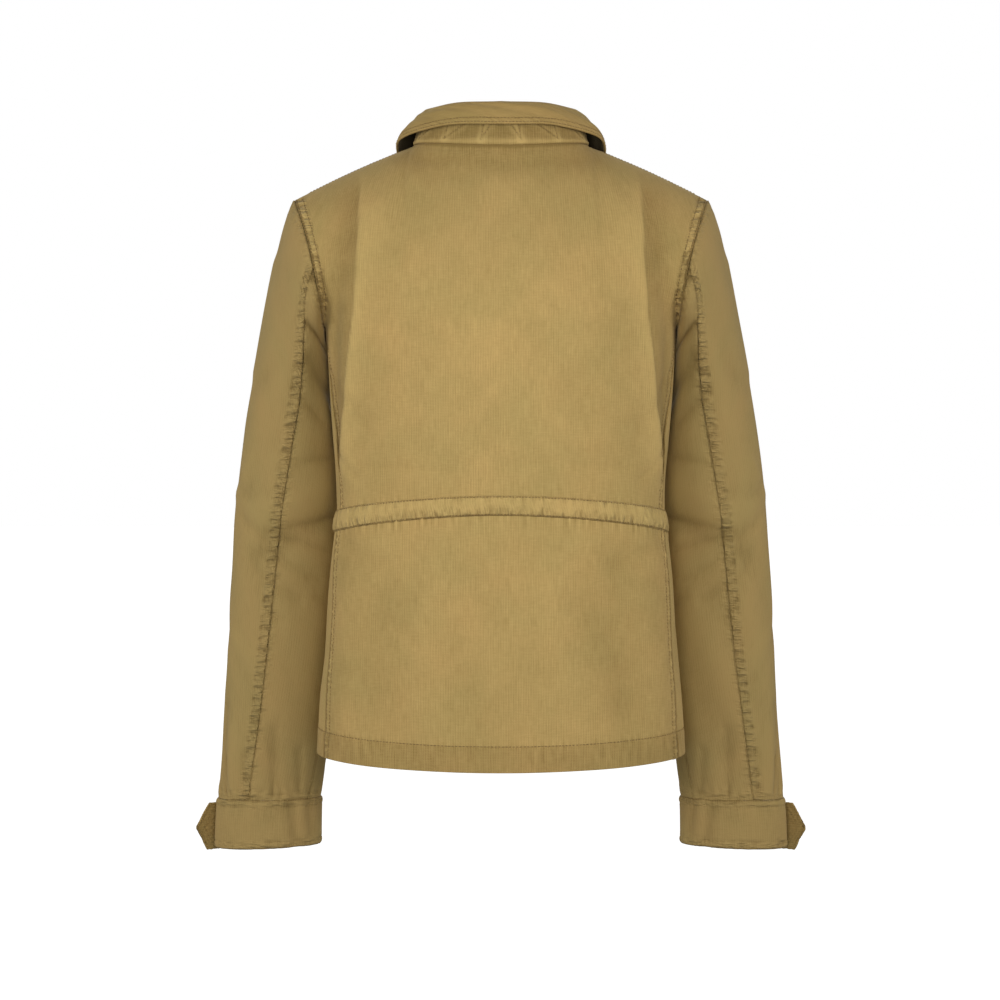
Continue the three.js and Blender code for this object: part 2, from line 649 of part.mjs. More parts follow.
function buildCuffs() {
  const corner = 1 - TAB.point * (1 - TAB.bend) / TAB.reach;
  const straight = steps(TAB.bend, corner, STEPS.tabReach).slice(1);
  const tabSteps = steps(0, TAB.bend, STEPS.tabBend).concat(straight, [(1 + corner) / 2, 1]);
  const lay = LAY_GAP;
  for (const [side, word] of [[1, 'left'], [-1, 'right']]) {
    const band = (lift) => (i, j) => mirrored(cuffPoint(360 * i / STEPS.cuff, j, lift), side);
    add(`cuff_${word}`, wall(band(0), band(-CUFF.wall), STEPS.cuff, 2, true, -side), TRIM);
    const tab = (lift) => (i, j) => tabLayer(tabSteps[i], j - 1, lift, side);
    add(`cuff_tab_${word}`, wall(tab(lay + TAB.wall), tab(lay), tabSteps.length - 1, 2, false, side), TRIM);
    const lift = lay + TAB.wall + BUTTON.room;
    const base = cuffPoint(TAB_BUTTON.angle, 1, lift);
    const normal = cuffPoint(TAB_BUTTON.angle, 1, lift + 1).sub(base).normalize();
    normal.x *= side;
    placeButton(`tab_button_${word}`, TAB_BUTTON.radius, TAB_BUTTON.thick, mirrored(base, side), normal);
  }
}

// The level outward direction of the neck at an angle from centre back.
function neckOut(angle) {
  const s = Math.sin(radians(angle)) / NECK.halfWidth;
  const c = Math.cos(radians(angle)) / NECK.backDepth;
  const size = Math.hypot(s, c);
  return new THREE.Vector3(s / size, c / size, 0);
}

// The stand's outer face, from the neck seam at 0 to just under the fold at 1.
function standPoint(angle, rise) {
  const collar = readAt(COLLAR_ROWS, 'angle', Math.abs(angle));
  const point = neckSeam(angle);
  const height = lerp(COLLAR.seamRoom, collar.high - COLLAR.foldRoom, rise);
  const inside = collar.narrow * rise ** COLLAR.leanPower + COLLAR.standInside;
  point.addScaledVector(neckOut(angle), -inside);
  point.z += height;
  return point;
}

// The fall's outer face, from the fold at 0 to its free edge at 1.
function fallPoint(angle, down) {
  const collar = readAt(COLLAR_ROWS, 'angle', Math.abs(angle));
  const point = neckSeam(angle);
  const out = neckOut(angle);
  const turn = radians(90 * down);
  const reachPower = lerp(COLLAR.reachPower.flat, COLLAR.reachPower.round, collar.round);
  const dropPower = lerp(COLLAR.dropPower.flat, COLLAR.dropPower.round, collar.round);
  const reach = (collar.spread + COLLAR.foldWidth) * Math.sin(turn) ** reachPower;
  const drop = (collar.drop - COLLAR.crestDrop) * (1 - Math.cos(turn)) ** dropPower;
  point.addScaledVector(out, reach - collar.narrow - COLLAR.foldWidth);
  point.z += collar.high - drop - COLLAR.crestDrop * down;
  return point;
}

function buildCollar() {
  const angles = steps(-COLLAR.endAngle, COLLAR.endAngle, STEPS.collar);
  const layered = (surface, turn, lift) => (columns, rows) => (i, j) => {
    const low = Math.max(rows[j] - COLLAR.step, COLLAR.firstPlace);
    const high = Math.min(rows[j] + COLLAR.step, 1);
    const normal = outward(surface, columns[i], low, high, turn);
    return surface(columns[i], rows[j]).addScaledVector(normal, lift);
  };
  const standRows = steps(0, 1, STEPS.stand);
  const stand = (lift) => layered(standPoint, -1, lift)(angles, standRows);
  const standWall = wall(stand(0), stand(-COLLAR.standWall), STEPS.collar, STEPS.stand, false, -1);
  add('collar_stand', standWall, TRIM);
  const fallRows = steps(0, 1, STEPS.collarFall);
  const fall = (lift) => layered(fallPoint, 1, lift)(angles, fallRows);
  const fallWall = wall(fall(0), fall(-COLLAR.fallWall), STEPS.collar, STEPS.collarFall, false, 1);
  add('collar_fall', fallWall, TWILL);
}

buildBack();
buildFronts();
buildCasing();
buildFly();
buildButtons();
buildSleeves();
buildCuffs();
buildCollar();

export default jacket;
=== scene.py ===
import bpy
import numpy as np
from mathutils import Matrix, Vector


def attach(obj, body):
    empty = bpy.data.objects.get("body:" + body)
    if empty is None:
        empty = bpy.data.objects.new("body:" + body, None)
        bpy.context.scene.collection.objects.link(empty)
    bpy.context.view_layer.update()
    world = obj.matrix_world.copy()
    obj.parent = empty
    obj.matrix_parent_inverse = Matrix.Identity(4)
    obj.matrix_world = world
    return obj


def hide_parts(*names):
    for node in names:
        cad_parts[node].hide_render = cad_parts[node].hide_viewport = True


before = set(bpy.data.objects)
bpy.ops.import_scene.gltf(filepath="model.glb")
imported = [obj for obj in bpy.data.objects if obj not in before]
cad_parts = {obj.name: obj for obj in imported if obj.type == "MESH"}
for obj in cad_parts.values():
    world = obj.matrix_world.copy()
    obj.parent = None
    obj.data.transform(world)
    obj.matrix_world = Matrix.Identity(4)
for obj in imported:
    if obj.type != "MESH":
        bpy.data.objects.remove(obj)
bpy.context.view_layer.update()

mm = 0.001
tiny = 1e-3
upward = np.array([0.0, 0, 1])


# a table: its column names, then rows of values, kept as one array for each column
def table(names, rows):
    return dict(zip(names.split(), np.array(rows, float).T))


# each column at a place between rows, on the smooth curve through the four rows around it
def readRows(rows, place):
    place = np.asarray(place, float)
    last = len(next(iter(rows.values()))) - 1
    i = np.clip(np.floor(place), 0, last - 1).astype(int)
    t = place - i
    result = {}
    for name, col in rows.items():
        long = np.concatenate([[2 * col[0] - col[1]], col, [2 * col[-1] - col[-2]]])
        a, b, c, d = long[i], long[i + 1], long[i + 2], long[i + 3]
        result[name] = b + 0.5 * t * (c - a + t * (2 * a - 5 * b + 4 * c - d + t * (3 * (b - c) + d - a)))
    return result


# a table read by one of its own rising columns
def readBy(rows, key, value):
    return readRows(rows, np.interp(value, rows[key], np.arange(len(rows[key]))))


# the value at a share of the way from one to another
def mix(a, b, t):
    return a + (b - a) * t


# sine and cosine of an angle in degrees
def sinCos(angle):
    return np.sin(np.radians(angle)), np.cos(np.radians(angle))


# each vector over its own length
def unit(v):
    return v / np.maximum(np.linalg.norm(v, axis=-1, keepdims=True), 1e-12)


# a bell of height 1 over a half width
def bell(distance, width):
    return np.exp(-(distance / width) ** 2)


# 0 below low, 1 above high, smooth between
def smooth(value, low, high):
    t = np.clip((value - low) / (high - low), 0, 1)
    return t * t * (3 - 2 * t)


# soft folds: each is a bell round its own line from one place to another, weaker to its ends
def foldHeight(folds, angle, z, mmPerDegree):
    total = np.zeros(np.broadcast(angle, z).shape)
    for aA, zA, aB, zB, width, height in folds:
        ax, dx, dz = aA * mmPerDegree, (aB - aA) * mmPerDegree, zB - zA
        px, pz = angle * mmPerDegree - ax, z - zA
        t = np.clip((px * dx + pz * dz) / (dx * dx + dz * dz), 0, 1)
        total = total + height * bell(np.hypot(px - t * dx, pz - t * dz), width)
    return total


# smooth noise along one or two coordinates: a sum of sine waves with seeded turns and pitches
def waves(seed, coordinates, pitches, count=7):
    rng = np.random.default_rng(seed)
    total = 0
    for _ in range(count):
        phase = rng.uniform(0, 2 * np.pi)
        turns = [rng.uniform(0.6, 1.5) * rng.choice([-1, 1]) / p for p in pitches]
        total = total + np.sin(phase + 2 * np.pi * sum(c * k for c, k in zip(coordinates, turns)))
    return total / np.sqrt(count)


# length along a grid's axis from its first line, in the grid's own units
def lengthAlong(points, axis):
    step = np.linalg.norm(np.diff(points, axis=axis), axis=-1)
    start = np.zeros_like(np.take(step, [0], axis=axis))
    return np.concatenate([start, np.cumsum(step, axis=axis)], axis=axis)


# the length along each column of a grid at one row
def lengthAt(rowPlaces, lengths, row):
    k = int(np.abs(rowPlaces - row).argmin())
    return lengths[k:k + 1]


# places from 0 to total with a wide step, and a narrow one near the marked places
def spaced(total, wide, narrow, marks, reach):
    places, here = [0.0], 0.0
    while here < total - 0.4 * narrow:
        near = min((abs(here - m) for m in marks), default=reach)
        here += mix(narrow, wide, min(near / reach, 1) ** 0.7)
        places.append(min(here, total))
    places[-1] = total
    return np.array(places)


body = {
    "cloth": 1.6,
    "seamGap": 0.3,
    "squareness": (2.5, 2.0),     # back and front: 2 is an ellipse
    "neck": {"half": 84, "back": 66, "front": 74, "backZ": -6, "sideZ": 3, "frontZ": -66},
    "shoulder": (197.5, -5, -48),
    "crown": 2.3,              # the shoulder seam's rise at its middle
    "neckShare": 0.42,
    "armhole": {"depth": 60, "backScoop": 6, "frontScoop": 9},
    "pullStart": (0.4, 0.1),
    "upperTall": 124, "rowTall": 48,   # height of the part above the underarm, and of a row just below it
    "lateness": 20, "lateShare": 0.12,
    "soften": 22, "softenReach": 32,
    "softenSteps": ((-1, 0.12), (-0.5, 0.2), (0, 0.36), (0.5, 0.2), (1, 0.12)),   # place, weight
    "mmPerDegree": 2.5,
    "rows": table("backZ sideZ frontZ half back front seam", [
        [-585.5, -576, -583.5, 176, 112, 108, 64.5],
        [-562, -554, -561, 174.6, 112, 108, 65],
        [-521, -519, -523, 172.5, 111, 107, 66],
        [-480, -483, -486, 168.8, 110, 106, 67],
        [-435, -443.5, -446, 166, 109, 105, 68],
        [-390, -403, -406, 163.2, 108, 104, 69],
        [-349, -366, -369, 159, 106, 102, 70],
        [-341, -356.5, -359.5, 157.4, 105.5, 102, 70],
        [-333, -347, -350, 156.8, 105.5, 102, 70],
        [-305, -315, -318, 157.6, 107.5, 105, 71],
        [-265, -272, -276, 160.8, 110.5, 110, 72.5],
        [-220, -223, -230, 164.5, 113.5, 115, 76],
        [-172, -172, -184, 168, 115, 118, 80]]),
    "casing": (6, 8),
    "underarm": 12,
    "backColumns": table("share rise out over lift", [
        [0, 62, 1, 17, -44], [0.21, 62, 2, 22, -42], [0.42, 68, 8, 66, -10],
        [0.6, 66, 14, 68, -7], [0.8, 52, 22, 66, -5], [1, 40, 30, 62, -3]]),
    "frontColumns": table("share rise out over lift", [
        [0, 40, 2, 20, -30], [0.21, 48, 4, 24, -32], [0.42, 70, 8, 66, -12],
        [0.6, 66, 12, 68, -8], [0.8, 52, 20, 66, -5], [1, 40, 28, 62, -3]]),
    "folds": [   # angle and height at each end, half width, height
        (44, -70, 60, -300, 16, 3), (-44, -70, -60, -300, 16, 3),
        (58, -95, 70, -270, 13, -2.5), (-58, -95, -70, -270, 13, -2.5),
        (-36, -400, -40, -520, 22, -2.5), (38, -430, 36, -540, 22, -1.8),
        (125, -120, 138, -300, 16, 2.5), (-124, -130, -136, -290, 16, 2.5),
        (150, -400, 147, -540, 20, -2.2), (-146, -390, -150, -520, 20, -2.4)],
    "creases": [   # finer ones that only the cloth has
        (-12, -300, -44, -306, 4, -0.9), (15, -310, 50, -304, 4, -0.9),
        (-3, -20, 26, -16, 7, -1.6), (3, -22, -28, -16, 7, -1.5),
        (-6, -30, 20, -34, 8, -0.8), (10, -32, -22, -30, 8, -0.7),
        (70, -285, 52, -315, 5, -1.5), (-70, -280, -50, -318, 5, -1.5),
        (72, -222, 46, -262, 9, -1.3), (-72, -218, -48, -266, 9, -1.4),
        (-62, -372, -40, -392, 8, -1.1), (60, -374, 36, -396, 8, -1.0),
        (-30, -450, -38, -540, 16, -1.3), (12, -470, 8, -560, 18, -0.8),
        (20, -380, 24, -480, 9, 0.8), (-14, -370, -20, -500, 10, 0.8),
        (120, -330, 150, -318, 5, -0.6), (-118, -328, -152, -320, 5, -0.6),
        (112, -240, 150, -300, 7, -1.0), (-110, -236, -148, -305, 7, -1.1),
        (140, -90, 128, -160, 8, 1.0), (-141, -95, -128, -165, 8, 1.0)],
    "wave": 0.45,              # height of the cloth's own uneven lie
    "shadeByRelief": 0.15,      # painted shade: ridges are painted paler and troughs darker
    "paintedShades": [   # painted shade and light: places and half widths as above, tone
        (-34, -14, 34, -14, 17, -0.9), (0, -180, 0, -280, 60, 0.2),
        (60, -360, 62, -560, 24, -0.4), (-60, -360, -62, -560, 24, -0.4)],
    "edge": {   # the sharp drape fold down each side of the back: its line, its fall, and its tone outside, a painted shade with a little painted light just inside
        "line": table("up x", [
            [-310, 153], [-250, 146.5], [-202, 141], [-164, 136], [-110, 133], [-60, 132.5], [-20, 132]]),
        "leftWay": -1.0, "sharp": 1.2, "reach": 20, "deep": 1.7, "tone": 1.15, "inner": 0.35,
        "low": (-330, -290), "high": (-60, -20),
    },
}


# a section: k (half sin, depth cos), k from the squareness; height eased from side to end by cos squared
def bodySection(row, angle):
    s, c = sinCos(angle)
    power = np.where(c > 0, *body["squareness"])
    grow = (np.abs(s) ** power + np.abs(c) ** power) ** (-1 / power)
    depth, endZ = np.where(c > 0, row["back"], row["front"]), np.where(c > 0, row["backZ"], row["frontZ"])
    return np.stack([grow * row["half"] * s, grow * depth * c, mix(row["sideZ"], endZ, c * c)], -1)


# the neck seam: an ellipse whose height is eased the same way
def neckSeam(angle):
    s, c = sinCos(angle)
    n = body["neck"]
    return np.stack([n["half"] * s, np.where(c > 0, n["back"], n["front"]) * c,
                     mix(n["sideZ"], np.where(c > 0, n["backZ"], n["frontZ"]), c * c)], -1)


underarmRow = readRows(body["rows"], np.array(float(body["underarm"])))
underarmPoint = bodySection(underarmRow, underarmRow["seam"])
shoulderTip = np.array(body["shoulder"], float)


# the armhole: from underarm to tip by the cosine, its width by the sine, scooped by the sine squared
def armhole(angle):
    s, c = sinCos(angle)
    toTip = ((1 + c) / 2)[..., None]
    point = mix(underarmPoint, shoulderTip, toTip)
    scoop = np.where(s > 0, body["armhole"]["backScoop"], body["armhole"]["frontScoop"])
    return point + np.stack([-scoop * s * s, body["armhole"]["depth"] * s, 0 * s], -1)


# the upper end of a column: on the neck seam, then straight along the shoulder seam
def panelTop(share, isBack):
    k, n = body["neckShare"], body["neck"]
    angle = 90 * np.minimum(share / k, 1)
    onNeck = neckSeam(angle if isBack else 180 - angle)
    t = ((share - k) / (1 - k))[..., None]
    rise = body["crown"] * np.sin(np.pi * np.clip(t, 0, 1))
    onShoulder = mix(np.array([n["half"], 0, n["sideZ"]], float), shoulderTip, t) + rise * upward
    return np.where((share < k)[..., None], onNeck, onShoulder)


# the angle at a share of the way from centre back or centre front to the side seam
def sectionAngle(seam, share, isBack):
    return share * seam if isBack else 180 - share * (180 - seam)


# a column above the underarm: a cubic curve with two handles between its lower and upper ends
def upperColumn(share, w, isBack):
    low = bodySection(underarmRow, sectionAngle(underarmRow["seam"], share, isBack))
    top = panelTop(share, isBack)
    h = readBy(body["backColumns" if isBack else "frontColumns"], "share", share)
    way = 1 if isBack else -1
    third = (top[..., 0] - low[..., 0]) / 3
    handleA = low + np.stack([third, way * h["out"], h["rise"]], -1)
    handleB = top + np.stack([-third, way * h["over"], h["lift"]], -1)
    w = w[..., None]
    v = 1 - w
    return v ** 3 * low + 3 * v * v * w * handleA + 3 * v * w * w * handleB + w ** 3 * top


# the panels as cut, by a share of the way from the centre to the side and a row; above the underarm the
# column is pulled to the armhole by the square of its share, late at first but for the armhole itself
def panelPoint(share, row, isBack):
    across = np.abs(share)
    section = readRows(body["rows"], np.minimum(row, body["underarm"]))
    low = bodySection(section, sectionAngle(section["seam"], across, isBack))
    w = np.clip(row - body["underarm"], 0, 1)
    start = body["pullStart"][0 if isBack else 1]
    pull = (np.maximum(across - start, 0) / (1 - start)) ** 2
    angle = np.degrees(np.arccos(np.clip(2 * w - 1, -1, 1)))
    edge = armhole(angle if isBack else -angle) - upperColumn(np.ones_like(w), w, isBack)
    rise = (w * body["upperTall"]) ** 2 + tiny
    late = (body["lateness"] * np.clip((1 - across) / body["lateShare"], 0, 1)) ** 2
    high = upperColumn(across, w, isBack) + edge * (pull * rise / (rise + late))[..., None]
    point = np.where((row <= body["underarm"])[..., None], low, high)
    point[..., 0] *= np.where(share < 0, -1, 1)
    return point


# a point of the body: near the underarm a weighted mean of panel points above and below, so that the
# cloth bends there without a corner
def bodyPoint(share, row, isBack):
    share, row = np.broadcast_arrays(np.asarray(share, float), np.asarray(row, float))
    height = (row - body["underarm"]) * np.where(row > body["underarm"], body["upperTall"], body["rowTall"])
    reach = body["soften"] * bell(height, body["softenReach"]) * (1 - np.abs(share) ** 14)
    total = 0
    for step, weight in body["softenSteps"]:
        there = height + step * reach
        place = body["underarm"] + there / np.where(there > 0, body["upperTall"], body["rowTall"])
        total = total + weight * panelPoint(share, np.minimum(place, body["underarm"] + 1), isBack)
    return total


# the outward direction: the cross product of the two ways along the surface
def outward(surface, u, low, high, turn):
    v = (low + high) / 2
    du = surface(u + tiny, v) - surface(u - tiny, v)
    dv = surface(u, high) - surface(u, low)
    return unit(np.cross(du, dv) * turn)


neckCorner = (body["neck"]["half"], body["neck"]["sideZ"])
shoulderNormal = unit(np.array([neckCorner[1] - shoulderTip[2], 0, shoulderTip[0] - neckCorner[0]]))


# the body's outward direction, near the shoulder seam turned square to that seam
def bodyNormal(share, row, isBack):
    share, row = np.broadcast_arrays(np.asarray(share, float), np.asarray(row, float))
    upper = row > body["underarm"]
    low = np.where(upper, np.maximum(row - tiny, body["underarm"] + tiny), row - tiny)
    high = np.minimum(row + tiny, np.where(upper, body["underarm"] + 1, body["underarm"]))
    normal = outward(lambda u, v: bodyPoint(u, v, isBack), share, low, high, -1 if isBack else 1)
    w = np.clip(row - body["underarm"], 0, 1)
    turned = shoulderNormal * np.stack([np.where(share < 0, -1, 1), 0 * w, 0 * w + 1], -1)
    ease = np.where(np.abs(share) >= body["neckShare"], w ** 8, 0)[..., None]
    return unit(mix(normal, turned, ease))


# heights of the folds and creases of the body, fading to the neck, shoulder and armhole
def bodyRelief(share, row, z, isBack):
    section = readRows(body["rows"], np.minimum(row, body["underarm"]))
    angle = np.sign(share) * sectionAngle(section["seam"], np.abs(share), isBack)
    w = np.clip(row - body["underarm"], 0, 1)
    calm = 1 - w ** 2
    fine = foldHeight(body["creases"], angle, z, body["mmPerDegree"])
    lie = body["wave"] * waves(3, (angle * body["mmPerDegree"], z), (90, 140))
    return calm * (foldHeight(body["folds"], angle, z, body["mmPerDegree"]) + lie) + (1 - w ** 6) * fine


# how much of the drape fold there is at a point: at once full past its line, then fading out by a bell, and
# a little of the other sign before it
def drapeEdge(points):
    e = body["edge"]
    x, z = points[..., 0], points[..., 2]
    past = np.abs(x) - np.interp(z, e["line"]["up"], e["line"]["x"]) - np.where(x < 0, e["leftWay"], 0)
    turned = smooth(past, -e["sharp"], e["sharp"])
    full = turned * bell(np.maximum(past, 0), e["reach"])
    before = (1 - turned) * bell(np.minimum(past, 0), 0.6 * e["reach"])
    return (full - e["inner"] * before) * smooth(z, *e["low"]) * (1 - smooth(z, *e["high"]))


# the body's painted shade: darker in the troughs and paler on the ridges of its relief, and painted shade and
# light along the large folds
def bodyPaintedShade(share, row, z, relief, isBack):
    section = readRows(body["rows"], np.minimum(row, body["underarm"]))
    angle = np.sign(share) * sectionAngle(section["seam"], np.abs(share), isBack)
    return body["shadeByRelief"] * relief + foldHeight(body["paintedShades"], angle, z, body["mmPerDegree"])


# one value for each point of a mesh, which its material reads by name
def pointValue(mesh, name, value):
    data = mesh.attributes.new(name, "FLOAT", "POINT").data
    data.foreach_set("value", value.astype(np.float32).ravel())


# puts a grid of points, in millimetres, into a mesh with its flat sizes as the UV map and a value of wear and
# painted shade; a ring's last column joins its first, and ring is then the flat width of its whole turn
def gridMesh(name, points, uv, wearAndShade, turn, ring=False):
    rows, columns = points.shape[:2]
    index = np.arange(rows * columns).reshape(rows, columns)
    if ring:
        index = np.concatenate([index, index[:, :1]], 1)
        uv = np.concatenate([uv, uv[:, :1] + [[[ring, 0]]]], 1)
    a, b, c, d = index[:-1, :-1], index[:-1, 1:], index[1:, 1:], index[1:, :-1]
    flatUv = uv.reshape(-1, 2)
    place = np.arange(index.size).reshape(index.shape)
    pa, pb, pc, pd = place[:-1, :-1], place[:-1, 1:], place[1:, 1:], place[1:, :-1]
    faces = np.stack([a, b, c, d] if turn > 0 else [a, d, c, b], -1).reshape(-1, 4)
    corners = np.stack([pa, pb, pc, pd] if turn > 0 else [pa, pd, pc, pb], -1).reshape(-1)
    mesh = bpy.data.meshes.new(name)
    mesh.from_pydata((points.reshape(-1, 3) * mm).tolist(), [], faces.tolist())
    mesh.uv_layers.new(name="UVMap").data.foreach_set("uv", (flatUv[corners] * mm).astype(np.float32).ravel())
    pointValue(mesh, "wearAndShade", wearAndShade)
    mesh.shade_smooth()
    made = bpy.data.objects.new(name, mesh)
    bpy.context.scene.collection.objects.link(made)
    return made


# cloth behind its outer face
def thicken(made, thickness):
    solid = made.modifiers.new("cloth", "SOLIDIFY")
    solid.thickness, solid.offset = thickness * mm, -1
    return made


# the line over a grid where a field first passes a value, read along the grid's second axis
def lineWhere(field, value, *grids):
    past = field >= value
    j = np.clip(past.argmax(1), 1, field.shape[1] - 1)
    i = np.arange(field.shape[0])
    a, b = field[i, j - 1], field[i, j]
    t = np.clip((value - a) / np.where(b - a == 0, 1, b - a), 0, 1)[:, None]
    return [mix(g[i, j - 1], g[i, j], t) for g in grids]


sewing = {"pitch": 3.3, "length": 2.5, "width": 0.42, "height": 0.32, "lift": 0.12, "sides": 4}
sewn = {}


# the points of a grid of three columns at lengths along its line
def pointsAt(lengths, place, grid):
    return np.stack([np.interp(lengths, place, grid[:, k]) for k in range(3)], -1)


# a row of stitches along a line of points, kept under the name of its piece until all rows are known
def sew(group, points, normals, pitch=sewing["pitch"], length=sewing["length"]):
    place = np.concatenate([[0], np.cumsum(np.linalg.norm(np.diff(points, axis=0), axis=1))])
    count = int(place[-1] // pitch)
    rng = np.random.default_rng(len(sewn.get(group, [])) + count)
    middle = (np.arange(count) + 0.5) * pitch + rng.uniform(-0.15, 0.15, count)
    ahead = unit(pointsAt(middle + 1, place, points) - pointsAt(middle - 1, place, points))
    up = unit(pointsAt(middle, place, normals))
    across = unit(np.cross(up, ahead))
    size = length * rng.uniform(0.86, 1.08, count)
    start = pointsAt(middle, place, points) + up * sewing["lift"]
    sewn.setdefault(group, []).append((start, ahead, across, up, size))


# each stitch is a short spindle: four rings of a few corners between two blunt ends
def sewingMesh(group, name):
    middle, ahead, across, up, size = [np.concatenate(part) for part in zip(*sewn[group])]
    sides = sewing["sides"]
    ring, turn = np.meshgrid(np.arange(4), np.arange(sides), indexing="ij")
    along = np.array([-0.5, -0.28, 0.28, 0.5])[ring]
    thick = np.array([0.35, 1, 1, 0.35])[ring]
    sag = np.array([-0.5, 0.25, 0.25, -0.5])[ring]
    s, c = sinCos(360 * turn / sides)
    sideways = (thick * s).ravel() * sewing["width"]
    rise = (thick * c + sag).ravel() * sewing["height"]
    count = len(middle)
    points = (middle[:, None] + ahead[:, None] * (along.ravel() * size[:, None])[..., None]
              + across[:, None] * sideways[None, :, None] + up[:, None] * rise[None, :, None])
    corner = np.arange(4 * sides).reshape(4, sides)
    nextCorner = np.roll(corner, -1, 1)
    quads = np.stack([corner[:-1], nextCorner[:-1], nextCorner[1:], corner[1:]], -1).reshape(-1, 4)
    ends = np.stack([corner[0][::-1], corner[3]])
    faces = np.concatenate([quads, ends])[None] + (np.arange(count) * 4 * sides)[:, None, None]
    mesh = bpy.data.meshes.new(name)
    mesh.from_pydata((points.reshape(-1, 3) * mm).tolist(), [], faces.reshape(-1, 4).tolist())
    mesh.shade_smooth()
    made = bpy.data.objects.new(name, mesh)
    bpy.context.scene.collection.objects.link(made)
    return made


# relief of a double row: a groove at each row of stitches, and little puckers across between them
def doubleRow(distance, along, seed, first=1.4, second=8.2, depth=0.45, pucker=0.42, raised=0.2):
    grooves = -depth * (bell(distance - first, 0.9) + bell(distance - second, 0.9))
    band = smooth(distance, first - 1.5, first + 1) * (1 - smooth(distance, second - 1, second + 4))
    ripple = waves(seed, (along, distance), (6.5, 30), 6)
    flat = smooth(distance, first - 0.6, first + 0.6) * (1 - smooth(distance, second - 0.3, second + 0.9))
    return grooves + band * pucker * ripple + raised * flat


# where a double row draws the cloth up
def bandOf(distance, first, second):
    return smooth(distance, first - 2, first + 0.5) * (1 - smooth(distance, second - 0.5, second + 3))


# relief of one row of stitches with puckers to both sides
def singleRow(distance, along, seed, at, depth=0.4, pucker=0.28):
    near = bell(distance - at, 4.5)
    return -depth * bell(distance - at, 0.9) + pucker * near * waves(seed, (along, distance), (7, 40), 6)


# a piece: its grid moved out by its relief, made a mesh, thickened and given over to the frame
def dress(name, points, normals, relief, wearAndShade, uv, style, node, turn=1, ring=False, band=None):
    shape = points + normals * relief[..., None]
    made = gridMesh(name, shape, uv, wearAndShade, turn, ring)
    if band is not None:
        pointValue(made.data, "band", band)
    thicken(made, style["cloth"])
    made.data.materials.append(style["material"])
    if "inside" in style:
        made.data.materials.append(style["inside"])
        made.modifiers["cloth"].material_offset = 1
    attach(made, "root")
    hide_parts(node)
    return shape


# a socket whose arithmetic adds Math nodes
class Value:
    def __init__(self, shader, socket):
        self.shader, self.socket = shader, socket

    def math(self, operation, *others, flip=False):
        parts = [self, *others][::-1] if flip else [self, *others]
        return self.shader.add("ShaderNodeMath", {"operation": operation}, dict(enumerate(parts)))

    def __add__(self, other):
        return self.math("ADD", other)

    def __radd__(self, other):
        return self.math("ADD", other, flip=True)

    def __sub__(self, other):
        return self.math("SUBTRACT", other)

    def __rsub__(self, other):
        return self.math("SUBTRACT", other, flip=True)

    def __mul__(self, other):
        return self.math("MULTIPLY", other)

    def __rmul__(self, other):
        return self.math("MULTIPLY", other, flip=True)

    def __truediv__(self, other):
        return self.math("DIVIDE", other)

    def __neg__(self):
        return self.math("MULTIPLY", -1)

    def __abs__(self):
        return self.math("ABSOLUTE")

    def __mod__(self, other):
        return self.math("FLOORED_MODULO", other)

    def __pow__(self, other):
        return self.math("POWER", other)


# one material's nodes
class Shader:
    def __init__(self, name):
        self.material = bpy.data.materials.new(name)
        self.material.use_nodes = True
        self.tree = self.material.node_tree
        self.tree.nodes.clear()

    def add(self, kind, settings=None, inputs=None, out=0):
        node = self.tree.nodes.new(kind)
        for key, value in (settings or {}).items():
            setattr(node, key, value)
        for key, value in (inputs or {}).items():
            if isinstance(value, Value):
                self.tree.links.new(value.socket, node.inputs[key])
            else:
                node.inputs[key].default_value = value
        return Value(self, node.outputs[out])

    # colour between two others by a factor
    def blend(self, factor, a, b):
        return self.add("ShaderNodeMix", {"data_type": "RGBA"}, {0: factor, 6: a, 7: b}, out=2)

    def finish(self, inputs):
        shaded = self.add("ShaderNodeBsdfPrincipled", None, inputs)
        end = self.tree.nodes.new("ShaderNodeOutputMaterial")
        self.tree.links.new(shaded.socket, end.inputs["Surface"])
        return self.material


# a colour with nothing see-through
def colour(r, g, b):
    return (r, g, b, 1.0)


cotton = {
    "light": colour(0.500, 0.336, 0.126),
    "dark": colour(0.235, 0.146, 0.047),
    "rib": 2.3,                # width of one rib of the herringbone, mm
    "slant": 1.5,              # pitch of its slanting lines, mm
    "weaveBump": 0.35,
    "ladderTone": 1.9, "ladderBump": 0.009,   # of the puckers between double rows
    "baseTone": 0.68, "slantTone": 0.1, "turnTone": 0.3, "yarnTone": 0.75, "weftTone": 0.42,
    "cloudTone": 0.34, "patchTone": 0.22, "wearAndShadeTone": 0.3,
    "cool": (0.93, 1.0, 0.97), "warm": (1.03, 0.985, 0.97),   # the tints that the clouds go between
    "roughness": 0.86,
    "sheen": 0.2,
    "sheenTint": colour(0.9, 0.72, 0.42),
}
